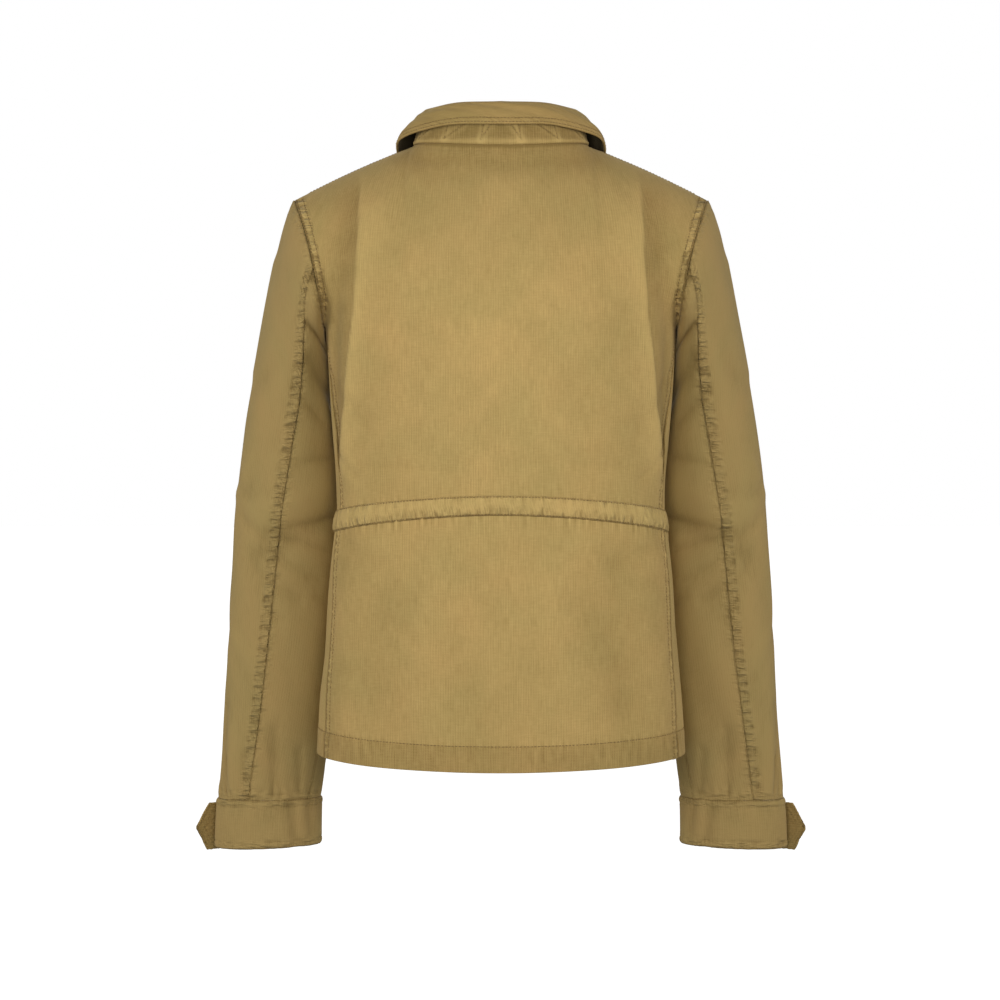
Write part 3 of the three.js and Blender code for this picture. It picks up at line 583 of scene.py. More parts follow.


# herringbone twill over the piece's flat sizes: slanting lines that turn at each rib, a thin dark line
# at the turn, uneven yarns along the grain, soft clouds of tone, and paler or darker cloth by wear and by
# painted shade and light; tone multiplies the colour, and rungs are the scales of the fine puckers that show
# where the band value is high
def twill(name, tone=1.0, rungs=(55, 55, 190)):
    sh = Shader(name)
    uv = sh.add("ShaderNodeUVMap", {"uv_map": "UVMap"})
    flat = sh.add("ShaderNodeSeparateXYZ", None, {0: uv})
    u = flat / mm
    v = Value(sh, flat.socket.node.outputs[1]) / mm
    rib = u / cotton["rib"]
    zigzag = abs((rib % 2) - 1)
    slant = ((v / cotton["slant"] + zigzag * 1.5) * (2 * np.pi)).math("SINE")
    turnLine = (abs(((rib % 1) - 0.5)) * 2) ** 5
    grain = sh.add("ShaderNodeMapping", None, {"Vector": uv, "Scale": (900, 55, 1)})
    yarn = sh.add("ShaderNodeTexNoise", None, {"Vector": grain, "Scale": 1, "Detail": 3, "Roughness": 0.6})
    cross = sh.add("ShaderNodeMapping", None, {"Vector": uv, "Scale": (120, 700, 1)})
    weft = sh.add("ShaderNodeTexNoise", None, {"Vector": cross, "Scale": 1, "Detail": 2, "Roughness": 0.6})
    cloud = sh.add("ShaderNodeTexNoise", None, {"Vector": uv, "Scale": 14, "Detail": 4, "Roughness": 0.55})
    patch = sh.add("ShaderNodeTexNoise", None, {"Vector": uv, "Scale": 60, "Detail": 3, "Roughness": 0.5})
    wearAndShade = sh.add("ShaderNodeAttribute", {"attribute_name": "wearAndShade"}, None, out=2)
    band = sh.add("ShaderNodeAttribute", {"attribute_name": "band"}, None, out=2)
    place = sh.add("ShaderNodeTexCoord", None, None, out=3)
    ladderPlace = sh.add("ShaderNodeMapping", None, {"Vector": place, "Scale": rungs})
    ladderNoise = sh.add("ShaderNodeTexNoise", None,
                         {"Vector": ladderPlace, "Scale": 1, "Detail": 2, "Roughness": 0.5})
    ladder = (ladderNoise - 0.5) * band
    # the wear-and-shade value makes the cloth paler or darker by wear and by painted shade and light
    shade = (cotton["baseTone"] + slant * cotton["slantTone"] - turnLine * cotton["turnTone"]
             + (yarn - 0.5) * cotton["yarnTone"] + (weft - 0.5) * cotton["weftTone"]
             + (cloud - 0.5) * cotton["cloudTone"] + (patch - 0.5) * cotton["patchTone"]
             + wearAndShade * cotton["wearAndShadeTone"] + ladder * cotton["ladderTone"])
    base = sh.blend(shade, cotton["dark"], cotton["light"])
    cool, warm = [colour(*(part * tone for part in cotton[name])) for name in ("cool", "warm")]
    tint = sh.blend((cloud - 0.35) * 1.6, cool, warm)
    paint = sh.add("ShaderNodeMix", {"data_type": "RGBA", "blend_type": "MULTIPLY"},
                   {0: 1.0, 6: base, 7: tint}, out=2)
    height = slant * 0.12 - turnLine * 0.5 + yarn * 1.3 + weft * 0.8
    bump = sh.add("ShaderNodeBump", None,
                  {"Strength": cotton["weaveBump"], "Distance": 0.5 * mm, "Height": height})
    puckers = sh.add("ShaderNodeBump", None,
                     {"Strength": 1.0, "Distance": cotton["ladderBump"], "Height": ladder, "Normal": bump})
    return sh.finish({
        "Base Color": paint, "Roughness": cotton["roughness"] - yarn * 0.06, "Normal": puckers,
        "Sheen Weight": cotton["sheen"], "Sheen Tint": cotton["sheenTint"], "Sheen Roughness": 0.45,
        "Specular IOR Level": 0.12})


# tonal thread: a little darker than the cloth, uneven along its length
def threadFinish():
    sh = Shader("thread")
    place = sh.add("ShaderNodeTexCoord", None, None, out=3)
    fuzz = sh.add("ShaderNodeTexNoise", None, {"Vector": place, "Scale": 900, "Detail": 2})
    paint = sh.blend(fuzz, colour(0.11, 0.068, 0.022), colour(0.34, 0.23, 0.09))
    return sh.finish({"Base Color": paint, "Roughness": 0.8, "Specular IOR Level": 0.2})


# horn-like plastic with soft bands
def buttonFinish():
    sh = Shader("buttonPlastic")
    place = sh.add("ShaderNodeTexCoord", None, None, out=3)
    bands = sh.add("ShaderNodeMapping", None,
                   {"Vector": place, "Scale": (140, 40, 300), "Rotation": (0.2, 0.5, 0.3)})
    marble = sh.add("ShaderNodeTexNoise", None, {"Vector": bands, "Scale": 1, "Detail": 4, "Distortion": 1.2})
    paint = sh.blend(marble, colour(0.035, 0.022, 0.010), colour(0.155, 0.100, 0.045))
    return sh.finish({"Base Color": paint, "Roughness": 0.32 + marble * 0.15, "Specular IOR Level": 0.5})


twillCloth = twill("twill")
twillTrim = twill("twillTrim", 0.97, (170, 170, 50))
twillInside = twill("twillInside", 0.72)
# a near-black copy of the twill under the collar's fall, painted shade
collarUnderShade = twill("collarUnderShade", 0.05)
thread = threadFinish()
buttonPlastic = buttonFinish()
print("finishes ready")


panel = {
    "cloth": body["cloth"], "slot": "twill", "material": twillCloth, "inside": twillInside,
    "wide": 3.2, "narrow": 1.0, "seamReach": 16, "halfWidth": 200,          # steps across
    "rowWide": 3.0, "rowNarrow": 1.2, "rowReach": 14, "lowerTall": 412.0, "hemRow": 0.7, "upperRows": 62,
    # the hem band and the seam lines are painted darker, as shade, by the two tones here
    "hem": 24, "hemShade": 1.2, "seamTone": 1.6,
    "seamRows": (1.4, 8.2), "armRows": (1.4, 7.8), "shoulderRows": (1.2, 7.5), "neckRow": 5.5,
    "sideEnd": (11.6, 12), "armStart": (12.0, 12.12), "armEnd": (12.985, 13), "quiet": (12.97, 13),
}


# shares from the centre to the side, dense near the side seam and the marked shares
def panelShares(marks=()):
    total = panel["halfWidth"]
    share = spaced(total, panel["wide"], panel["narrow"], [total, *marks], panel["seamReach"]) / total
    corner = body["neckShare"]
    share[np.abs(share - corner).argmin()] = corner
    return share


# rows from hem to shoulder, dense at the hem, the casing and the shoulder; above the underarm they are
# spaced by the cosine, as the armhole is
def panelRowPlaces():
    low, high = body["casing"]
    tall = panel["lowerTall"]
    perRow = tall / body["underarm"]
    marks = [0, panel["hemRow"] * perRow, low * perRow, high * perRow]
    lower = spaced(tall, panel["rowWide"], panel["rowNarrow"], marks, panel["rowReach"]) / perRow
    for k in (low, high, body["underarm"]):
        lower[np.abs(lower - k).argmin()] = k
    angle = np.linspace(0, 180, panel["upperRows"])[1:]
    return np.concatenate([lower, body["underarm"] + (1 - np.cos(np.radians(angle))) / 2])


rowPlaces = panelRowPlaces()


# a panel over shares and rows: hem band, side seam, armhole seam and shoulder seam in its relief
def buildPanel(name, node, shares, isBack, flat, area, seamSides):
    share, row = np.meshgrid(shares, rowPlaces)
    points, normals = bodyPoint(share, row, isBack), bodyNormal(share, row, isBack)
    across = lengthAlong(points, 1)
    zero = np.abs(shares).argmin()
    across = across - across[:, zero:zero + 1]
    up = lengthAlong(points, 0)
    under = int(np.abs(rowPlaces - body["underarm"]).argmin())
    upright = up - up[under:under + 1]
    relief = bodyRelief(share, row, points[..., 2], isBack)
    drape = drapeEdge(points) if isBack else 0
    detail, band = np.zeros_like(relief), np.zeros_like(relief)
    # painted shade outside the drape fold, and a little painted light just inside it
    seamTone = -body["edge"]["tone"] * drape
    relief = relief - body["edge"]["deep"] * drape
    for k, side in enumerate(seamSides):
        edge = across[:, -1:] if side > 0 else across[:, :1]
        distance = np.abs(edge - across)
        bySide = 1 - smooth(row, *panel["sideEnd"])
        if isBack:
            detail += bySide * doubleRow(distance, up, 11 + k, *panel["seamRows"])
            band += 0.4 * bySide * bandOf(distance, *panel["seamRows"])
        byArmhole = smooth(row, *panel["armStart"]) * (1 - smooth(row, *panel["armEnd"]))
        seed = 21 + k + 5 * isBack
        detail += byArmhole * doubleRow(distance, up, seed, *panel["armRows"], depth=0.6, pucker=0.6)
        band += byArmhole * bandOf(distance, *panel["armRows"])
        # painted shade along the seam line
        seamTone = seamTone - panel["seamTone"] * bell(distance, 1.2)
    toTop = up[-1:] - up
    onShoulder = smooth(np.abs(share), body["neckShare"] + 0.01, body["neckShare"] + 0.05)
    onNeck = 1 - smooth(np.abs(share), body["neckShare"] - 0.03, body["neckShare"])
    if isBack:
        rows = doubleRow(toTop, across, 31, *panel["shoulderRows"], depth=0.3, pucker=0.15)
        detail += onShoulder * 0.8 * rows
    detail += onNeck * singleRow(toTop, across, 33, panel["neckRow"], 0.3, 0.15) * (1 - smooth(toTop, 12, 16))
    detail += singleRow(up, across, 35 + isBack, panel["hem"], 0.6, 0.35)
    hemFold = 1 - smooth(up, panel["hem"] - 1.5, panel["hem"] + 1.0)
    # painted shadow along the neck seam, under the collar
    seamTone = seamTone - onNeck * panel["seamTone"] * bell(toTop, 2.5)
    # painted shade over the hem band, and painted shade and light by the relief and along the folds
    tone = seamTone - panel["hemShade"] * hemFold + bodyPaintedShade(share, row, points[..., 2], relief, isBack)
    detail += 0.4 * hemFold + 0.3 * waves(37 + isBack, (across, up), (11, 60)) * bell(up - 14, 10)
    lowLine, highLine = [lengthAt(rowPlaces, up, place) for place in body["casing"]]
    gathers = waves(39 + isBack, (across, up), (8, 90), 9)
    detail += 0.6 * gathers * bell(up - lowLine + 3, 7) + 0.3 * gathers * bell(up - highLine - 2, 5)
    seam = (np.abs(np.abs(share) - 1) < 1e-9) | (np.abs(row - body["underarm"] - 1) < 1e-9)
    points[..., 1] += np.where(seam, (1 if isBack else -1) * body["seamGap"] / 2, 0)
    quiet = 1 - smooth(row, *panel["quiet"])
    total = (relief + detail) * np.where(np.abs(share) < body["neckShare"], 1, quiet)
    uv = np.stack([across, upright], -1)
    style = {**panel, "flat": flat, "area": area}
    shape = dress(name, points, normals, total, detail + tone, uv, style, node,
                  turn=-1 if isBack else 1, band=band)
    return {"points": shape, "normals": normals, "across": across, "up": up, "toTop": toTop,
            "row": row, "share": share}


half = panelShares()
backShares = np.concatenate([-half[:0:-1], half])
backGrid = buildPanel("backPanel", "back", backShares, True, (0.46, 0.61), 0.235, (1, -1))
print("back done")

fly = {"span": 345, "left": 18, "right": -26, "seam": -10, "topTrim": 0.012}
flySeam = fly["seam"] / fly["span"]
flyRoom = body["seamGap"] / 2 / fly["span"]
leftShares = np.concatenate([[flySeam + flyRoom, -0.012], half])
rightShares = -half[:0:-1]
rightShares = np.concatenate([rightShares[rightShares < flySeam - 0.008], [flySeam - flyRoom]])
leftGrid = buildPanel("frontLeft", "front_left", leftShares, False, (0.27, 0.60), 0.145, (1,))
rightGrid = buildPanel("frontRight", "front_right", rightShares, False, (0.26, 0.60), 0.135, (-1,))
print("fronts done")

sleeve = {
    "cloth": body["cloth"], "slot": "twill", "material": twillCloth, "inside": twillInside,
    "rows": table("outX outZ inX inZ midY depth lean scoop hind inner", [
        [203.5, -62, 170.3, -177.5, 5.5, 61.5, 11.5, 6, 100, 180],
        [209, -79, 169.8, -183.5, 1, 62, 11, 4, 103, 180],
        [215, -103, 168.6, -191.5, -6, 62, 8, 2, 106, 180],
        [222.5, -134, 167, -206, -15, 61, 6, 1, 108, 180],
        [230.5, -172, 164.8, -228, -24, 58, 4, 0, 108, 180],
        [239, -216, 162, -256, -32, 53, 2, 0, 104, 179],
        [247.5, -264, 160, -290, -38.5, 49, 0, 0, 97, 176],
        [254.3, -311, 158.5, -328, -44, 46, 0, 0, 91, 172],
        [259.3, -357, 157.8, -365, -48.5, 44, 0, 0, 86, 168],
        [262.6, -404, 158.3, -407, -52, 43, 0, 0, 83, 164],
        [265.8, -456, 160.5, -456, -55, 41, 0, 0, 80, 159],
        [268.4, -506, 164.3, -504, -57.5, 39, 0, 0, 77, 155],
        [271.8, -556, 169.5, -553, -59.5, 36, 0, 0, 74, 150],
        [274.9, -600, 175, -597, -61, 32.5, 0, 0, 71, 146],
        [276.6, -629.4, 179.1, -627.8, -61, 29, 0, 0, 69, 142]]),
    "folds": [
        (62, -388, 150, -352, 11, -3), (60, -350, 140, -322, 14, 2), (120, -205, 168, -240, 11, -3),
        (16, -540, 22, -625, 9, -2.4), (40, -565, 44, -628, 8, 1.6), (-40, -330, -120, -372, 14, -3),
        (-30, -420, -90, -455, 14, -2), (-110, -215, -168, -250, 12, -3)],
    "creases": [
        (74, -366, 160, -352, 4, -0.9), (104, -300, 150, -296, 5, -0.8), (16, -318, 44, -332, 6, -0.6),
        (12, -330, 40, -300, 7, 0.6), (58, -402, 106, -432, 7, -0.8), (-20, -360, -80, -350, 6, -1.0),
        (-60, -300, -110, -330, 6, -0.9), (25, -590, 38, -625, 5, -0.9), (60, -585, 66, -626, 5, -0.8),
        (92, -560, 98, -626, 6, -0.9), (122, -580, 128, -628, 5, -0.8), (-30, -580, -34, -628, 6, -0.9),
        (103, -126, 160, -152, 5, -1.3), (112, -170, 166, -192, 4.5, -1.0), (118, -148, 160, -172, 7, 0.7),
        (158, -168, 176, -196, 9, 0.55), (-158, -168, -176, -196, 9, 0.4), (86, -372, 140, -384, 4, -0.8),
        (84, -392, 130, -414, 5, -0.7), (66, -420, 88, -452, 5, -0.6), (36, -352, 66, -372, 6, -0.7),
        (96, -232, 140, -262, 6, -0.8), (30, -230, 60, -214, 8, -0.5), (-72, -570, -76, -628, 6, -0.9),
        (-110, -585, -112, -628, 6, -0.8), (8, -110, 4, -210, 9, 0.7),
        (-8, -440, 10, -470, 8, -0.6), (30, -470, 70, -500, 8, 0.6), (130, -430, 160, -445, 6, -0.7)],
    # on the sleeve the relief's troughs are painted darker and its ridges paler, the seams are painted darker
    # as shade, and the tone paints the whole sleeve lighter as light
    "mmPerDegree": 0.85, "creaseGrow": 2.2, "shadeByRelief": 0.34, "seamTone": 1.6, "tone": 1.1,
    # painted shade and light on the sleeve: dark shade under the arm and in its creases, a darker and a paler
    # strip near the elbow
    "paintedShades": [
        (112, -105, 128, -170, 14, -0.6), (116, -180, 122, -250, 12, -0.6), (140, -150, 165, -230, 16, -0.7),
        (103, -126, 160, -152, 4.5, -2.2), (112, -170, 166, -192, 4, -1.6),
        (78, -330, 120, -322, 9, -0.4), (70, -300, 100, -292, 7, 0.5)],
    "underRoom": 1.6, "firstRow": 0.03, "lastRow": 15.02, "seamAngle": 0.12, "calmRows": 3,
    "wide": 3.1, "narrow": 1.0, "edgeReach": 14,                            # steps across
    "length": 600.0, "rowWide": 3.0, "rowNarrow": 1.4, "rowReach": 12,      # steps along
    "wave": 0.35, "hindRows": (1.3, 8.6), "hindStart": (0.4, 1.0), "innerRow": 1.6,
    "topWidth": 250.0, "topFlat": (0.30, 0.60), "topArea": 0.129,
    "underWidth": 100.0, "underFlat": (0.12, 0.52), "underArea": 0.0315,
}


# a sleeve's section between its outer and inner ends, from the armhole's own line at row 0
def sleevePoint(angle, row):
    angle, row = np.broadcast_arrays(np.asarray(angle, float), np.asarray(row, float))
    s, c = sinCos(angle)
    toTip = (1 + c) / 2
    hole = armhole((angle + 540) % 360 - 180)
    hole[..., 0] += sleeve["underRoom"] * (1 - toTip)
    r = readRows(sleeve["rows"], np.maximum(row, 1) - 1)
    point = np.stack([mix(r["inX"], r["outX"], toTip) - r["scoop"] * s * s,
                      r["midY"] - r["lean"] * c + r["depth"] * s, mix(r["inZ"], r["outZ"], toTip)], -1)
    return mix(hole, point, np.clip(row, 0, 1)[..., None])


# its outward direction, which leans as the panel's edge does near the armhole
def sleeveNormal(angle, row):
    normal = outward(sleevePoint, angle, row - tiny, row + tiny, -1)
    s, c = sinCos(angle)
    w = body["underarm"] + np.clip((1 + c) / 2, tiny, 1 - tiny)
    back, front = [bodyNormal(np.ones_like(w), w, isBack) for isBack in (True, False)]
    turned = np.where((s > 0)[..., None], back, front)
    return unit(mix(turned, normal, np.clip(row, 0, 1)[..., None]))


# one cut piece of a sleeve between two seam angles; a right one is its mirror image
def buildSleevePiece(name, node, side, kind):
    isTop = kind == "top"
    width, length = sleeve[kind + "Width"], sleeve["length"]
    across = spaced(width, sleeve["wide"], sleeve["narrow"], [0, width], sleeve["edgeReach"]) / width
    rows = spaced(length, sleeve["rowWide"], sleeve["rowNarrow"], [0, length], sleeve["rowReach"]) / length
    rows = sleeve["firstRow"] + (sleeve["lastRow"] - sleeve["firstRow"]) * rows
    place, row = np.meshgrid(across, rows)
    seam = readRows(sleeve["rows"], np.maximum(row, 1) - 1)
    room = sleeve["seamAngle"]
    if isTop:
        angle = mix(seam["inner"] - 360 + room, seam["hind"] - room, place)
    else:
        angle = mix(seam["hind"] + room, seam["inner"] - room, place)
    points, normals = sleevePoint(angle, row), sleeveNormal(angle, row)
    turned = (angle + 540) % 360 - 180
    calm = np.minimum(row / sleeve["calmRows"], 1)
    relief = calm * foldHeight(sleeve["folds"], turned, points[..., 2], sleeve["mmPerDegree"])
    fine = sleeve["creaseGrow"] * foldHeight(sleeve["creases"], turned, points[..., 2], sleeve["mmPerDegree"])
    lie = sleeve["wave"] * waves(41 + side, (turned * sleeve["mmPerDegree"], points[..., 2]), (60, 120))
    fromStart, along = lengthAlong(points, 1), lengthAlong(points, 0)
    toHind = fromStart[:, -1:] - fromStart if isTop else fromStart
    toInner = fromStart if isTop else fromStart[:, -1:] - fromStart
    toEnd = along[-1:] - along
    relief = (relief + np.minimum(row / 1.5, 1) * (fine + lie * calm)) * (1 - 0.9 * bell(toEnd, 4))
    seed = 50 + 3 * side
    detail = np.zeros_like(relief)
    started = smooth(row, *sleeve["hindStart"])
    if isTop:
        detail += doubleRow(toHind, along, seed, *sleeve["hindRows"], depth=0.45, pucker=0.5) * started
    detail += singleRow(toInner, along, seed + 1, sleeve["innerRow"], 0.3, 0.15) * smooth(row, 1, 2)
    detail += 0.7 * bell(toEnd - 9, 7) * waves(seed + 2, (fromStart, toEnd), (10, 60))
    detail -= 0.35 * bell(along, 1.6) * np.ones_like(detail)
    band = bandOf(toHind, *sleeve["hindRows"]) * started if isTop else 0.5 * bell(toHind, 5)
    band = band + 0.6 * bell(along - 3, 6) + 0.6 * bell(toEnd - 3, 7)
    # painted shade along the seams and the armhole join, painted light over the whole sleeve, and painted
    # shade and light by the relief and along the folds
    tone = -sleeve["seamTone"] * (bell(toHind, 1.2) + 0.7 * bell(toInner, 1.2) + bell(along, 1.6))
    paintedShades = foldHeight(sleeve["paintedShades"], turned, points[..., 2], sleeve["mmPerDegree"])
    tone = tone + sleeve["tone"] + sleeve["shadeByRelief"] * relief + paintedShades
    detail += 0.3 * bell(along - 3, 7) * waves(seed + 4, (fromStart, along), (9, 60)) * smooth(along, 0, 2)
    middle = fromStart[:, -1:] / 2
    style = {**sleeve, "flat": sleeve[kind + "Flat"], "area": sleeve[kind + "Area"]}
    mirror = np.array([side, 1, 1])
    shape = dress(name, points * mirror, normals * mirror, relief + detail, detail + tone,
                  np.stack([fromStart - middle, -along], -1), style, node, turn=side, band=band)
    return {"points": shape, "normals": normals * mirror, "toHind": toHind, "toInner": toInner, "row": row}


sleeveGrids = {}
for side, word in ((1, "left"), (-1, "right")):
    for kind in ("top", "under"):
        sleeveGrids[kind, side] = buildSleevePiece(
            f"sleeve{kind.title()}{word.title()}", f"sleeve_{kind}_{word}", side, kind)
print("sleeves done")


cuff = {
    "cloth": 2.3, "slot": "twill_trim", "material": twillTrim, "inside": twillInside,
    "rows": table("outX outZ inX inZ midY depth", [
        [277.7, -630, 178.4, -628.5, -61, 30],
        [279.2, -652.5, 178.8, -650.5, -61.5, 30.5],
        [280, -676.5, 179, -672.5, -62, 30.5]]),
    "steps": (190, 34), "topRow": 5.6, "endRow": 5.4, "shadeByRelief": 0.35, "tone": 0.9,
    "mmPerDegree": 0.65, "turnRadius": 36, "flat": (0.256, 0.05), "area": None,
    "dents": [   # angle and height at each end, half width, height
        (118, -634, 126, -668, 5, -1.9), (142, -634, 147, -662, 4.5, -1.8), (131, -634, 136, -660, 5, 0.9),
        (100, -632, 98, -648, 5, -0.8), (-120, -634, -126, -668, 6, -1.5), (30, -640, 32, -668, 9, -0.5)],
}
tab = {
    "cloth": 1.9, "slot": "twill_trim", "material": twillTrim, "inside": twillTrim,
    "start": -88, "leave": -36, "bend": 0.55, "reach": 36, "point": 13, "blunt": 0.04, "lift": 2.5,
    "topZ": -636, "bottomZ": -681, "steps": (64, 40), "rows": (1.9, 7.2),
    "pointReach": 14, "slantShare": 0.55,   # towards the point the edge is nearer than the height tells
    "insetGrow": 1.17,                      # how much further in a row's point is than its sides
    "flat": (0.078, 0.046), "area": 0.0034,
}


# a cuff is an ellipse at each row, moved out square to it
def cuffPoint(angle, row, lift):
    angle, row = np.broadcast_arrays(np.asarray(angle, float), np.asarray(row, float))
    r = readRows(cuff["rows"], row)
    s, c = sinCos(angle)
    half = (r["outX"] - r["inX"]) / 2
    n = unit(np.stack([c / half, s / r["depth"]], -1))
    return np.stack([(r["outX"] + r["inX"]) / 2 + half * c + lift * n[..., 0],
                     r["midY"] + r["depth"] * s + lift * n[..., 1],
                     mix(r["inZ"], r["outZ"], (1 + c) / 2)], -1)


# outward: from the cuff's face to the same place one millimetre further out
def cuffNormal(angle, row):
    return unit(cuffPoint(angle, row, 1.0) - cuffPoint(angle, row, 0.0))


# a whole turn of the cuff with its dents, and a row of stitches near each edge with ripples beside it
def buildCuff(name, node, side):
    columns, rows = cuff["steps"]
    angle, row = np.meshgrid(360 * np.arange(columns) / columns, np.linspace(0, 2, rows + 1))
    points, normals = cuffPoint(angle, row, 0), cuffNormal(angle, row)
    along, down = lengthAlong(points, 1), lengthAlong(points, 0)
    toEnd = down[-1:] - down
    relief = foldHeight(cuff["dents"], (angle + 540) % 360 - 180, points[..., 2], cuff["mmPerDegree"])
    s, c = sinCos(angle)
    ripple = waves(71 + side, (c * cuff["turnRadius"], s * cuff["turnRadius"], down), (5, 5, 60), 9)
    detail = (-0.45 * (bell(down - cuff["topRow"], 0.9) + bell(toEnd - cuff["endRow"], 0.9))
              + 0.3 * ripple * (bell(down - 3, 5) + bell(toEnd - 3, 5))
              - 0.9 * (bell(down, 0.9) + bell(toEnd, 0.9))
              + 0.3 * (bell(down - 2.8, 2) + bell(toEnd - 2.8, 2)))
    mirror = np.array([side, 1, 1])
    # painted shade in the dents, the stitch grooves and along both edges, and painted light on the ridges
    tone = cuff["tone"] + detail + cuff["shadeByRelief"] * relief - 1.2 * (bell(down, 1.1) + bell(toEnd, 0.8))
    band = 0.8 * (bell(down - 3, 4) + bell(toEnd - 3, 4))
    wholeTurn = along[0, -1] + np.linalg.norm(points[0, -1] - points[0, 0])
    shape = dress(name, points * mirror, normals * mirror, relief + detail, tone,
                  np.stack([along, -down], -1), cuff, node, turn=side, ring=wholeTurn, band=band)
    for field, value in ((down, cuff["topRow"]), (-toEnd, -cuff["endRow"])):
        line, up = lineWhere(field.T, value, shape.transpose(1, 0, 2), (normals * mirror).transpose(1, 0, 2))
        sew("cuffs", np.concatenate([line, line[:1]]), np.concatenate([up, up[:1]]))


# half the tab's width at a place along it
def tabHalf(along):
    toEnd = np.clip((1 - along) * tab["reach"] / (1 - tab["bend"]) / tab["point"], 0, 1)
    return (tab["topZ"] - tab["bottomZ"]) / 2 * mix(tab["blunt"], 1, toEnd)


# the tab follows the cuff's front, then goes straight on past its edge
def tabPoint(along, height, lift):
    top, low = cuff["rows"]["outZ"][0], cuff["rows"]["outZ"][2]
    z = (tab["topZ"] + tab["bottomZ"]) / 2 + height
    row = 2 * (top - z) / (top - low)
    point = cuffPoint(mix(tab["start"], tab["leave"], np.minimum(along / tab["bend"], 1)), row, lift)
    ahead = cuffPoint(tab["leave"] + 1, row, lift) - cuffPoint(tab["leave"], row, lift)
    ahead[..., 2] = 0
    past = np.maximum(along - tab["bend"], 0) / (1 - tab["bend"]) * tab["reach"]
    point = point + unit(ahead) * past[..., None]
    point[..., 2] = z
    return point


# the tab from edge to edge, with two rows of stitches that run round its point
def buildTab(name, node, side):
    columns, rows = tab["steps"]
    along, across = np.meshgrid(np.linspace(0, 1, columns + 1) ** 0.85, np.linspace(-1, 1, rows + 1))
    halfWide = tabHalf(along)
    height = across * halfWide
    points = tabPoint(along, height, tab["lift"])
    normals = unit(tabPoint(along, height, tab["lift"] + 1.0) - points)
    length = lengthAlong(points, 1)
    toEdge = halfWide - np.abs(height)
    nearPoint = length > length[:, -1:] - tab["pointReach"]
    edge = np.minimum(np.where(nearPoint, toEdge * tab["slantShare"], toEdge), length + 3)
    inner, outer = tab["rows"]
    detail = (-0.9 * bell(edge, 0.9) - 0.35 * (bell(edge - inner, 0.8) + bell(edge - outer, 0.8))
              + 0.25 * waves(81 + side, (length, height), (6, 6), 9))
    mirror = np.array([side, 1, 1])
    # the same relief paints the tab darker at its edge and in its stitch grooves, as painted shade
    dress(name, points * mirror, normals * mirror, detail, detail, np.stack([height, length], -1),
          tab, node, turn=-side)
    perMm = (1 - tab["bend"]) / tab["reach"]
    for inset in tab["rows"]:
        back = inset * tab["insetGrow"] * perMm
        run = np.linspace(0.02, 1 - back, 60)
        wide = np.minimum(tabHalf(run + back), tabHalf(0) - inset)
        there = np.concatenate([run, run[::-1]])
        height = np.concatenate([wide, -wide[::-1]])
        line = tabPoint(there, height, tab["lift"])
        up = unit(tabPoint(there, height, tab["lift"] + 1.0) - line)
        sew("cuffs", line * mirror, up * mirror, 3.0, 2.2)


for side, word in ((1, "left"), (-1, "right")):
    buildCuff(f"cuff{word.title()}", f"cuff_{word}", side)
    buildTab(f"cuffTab{word.title()}", f"cuff_tab_{word}", side)
print("cuffs done")


collar = {
    "rows": table("angle high narrow drop spread round", [
        [0, 44, 11, 23.7, 12, 1],
        [30, 42, 10.8, 23, 13, 1],
        [60, 36, 10.4, 24.3, 15.5, 0.6],
        [85, 34, 9, 30, 24, 0],
        [105, 31, 9, 36, 29, 0],
        [130, 31, 8, 46, 36, 0.4],
        [150, 31, 6, 69, 37, 0.6],
        [166, 30, 5, 68, 33, 0.6]]),
    "endAngle": 166, "seamRoom": 0.6, "foldRoom": 2.2, "standInside": 0.8, "foldWidth": 1.5,
    "crestDrop": 0.5, "leanPower": 1.6,
    "reachPower": (1.0, 0.75), "dropPower": (0.5, 0.8),   # where the fall is flat, where it rolls over
    "fall": {"cloth": 1.9, "slot": "twill", "material": twillCloth, "inside": collarUnderShade,
             "flat": (0.46, 0.09), "area": 0.0242},
    "stand": {"cloth": 1.7, "slot": "twill_trim", "material": twillTrim, "inside": twillInside,
              "flat": (0.41, 0.037), "area": 0.015},
    "fallSteps": (221, 37), "standSteps": (301, 23), "fallRows": (2.4, 6.2),
    "standShade": 1.5, "fallShade": 0.6,
    "quilting": {"first": 19.0, "pitch": 37.5, "count": 5, "lean": 4.5, "low": 0.14, "high": 0.9},
}


# the level way out of the neck
def neckOut(angle):
    s, c = sinCos(angle)
    n = unit(np.stack([s / body["neck"]["half"], c / body["neck"]["back"]], -1))
    return np.concatenate([n, 0 * n[..., :1]], -1)


# the stand leans in by the sine of its rise
def standPoint(angle, rise):
    angle, rise = np.broadcast_arrays(np.asarray(angle, float), np.asarray(rise, float))
    r = readBy(collar["rows"], "angle", np.abs(angle))
    inside = r["narrow"] * np.clip(rise, 0, None) ** collar["leanPower"] + collar["standInside"]
    point = neckSeam(angle) - neckOut(angle) * inside[..., None]
    point[..., 2] += mix(collar["seamRoom"], r["high"] - collar["foldRoom"], rise)
    return point


# the fall turns over the fold: out by a power of the sine, down by a power of one less the cosine
def fallPoint(angle, down):
    angle, down = np.broadcast_arrays(np.asarray(angle, float), np.asarray(down, float))
    r = readBy(collar["rows"], "angle", np.abs(angle))
    turn = np.pi / 2 * np.clip(down, 0, None)
    reachPower, dropPower = mix(*collar["reachPower"], r["round"]), mix(*collar["dropPower"], r["round"])
    reach = (r["spread"] + collar["foldWidth"]) * np.sin(turn) ** reachPower
    drop = (r["drop"] - collar["crestDrop"]) * (1 - np.cos(turn)) ** dropPower
    point = neckSeam(angle) + neckOut(angle) * (reach - r["narrow"] - collar["foldWidth"])[..., None]
    point[..., 2] += r["high"] - drop - collar["crestDrop"] * down
    return point


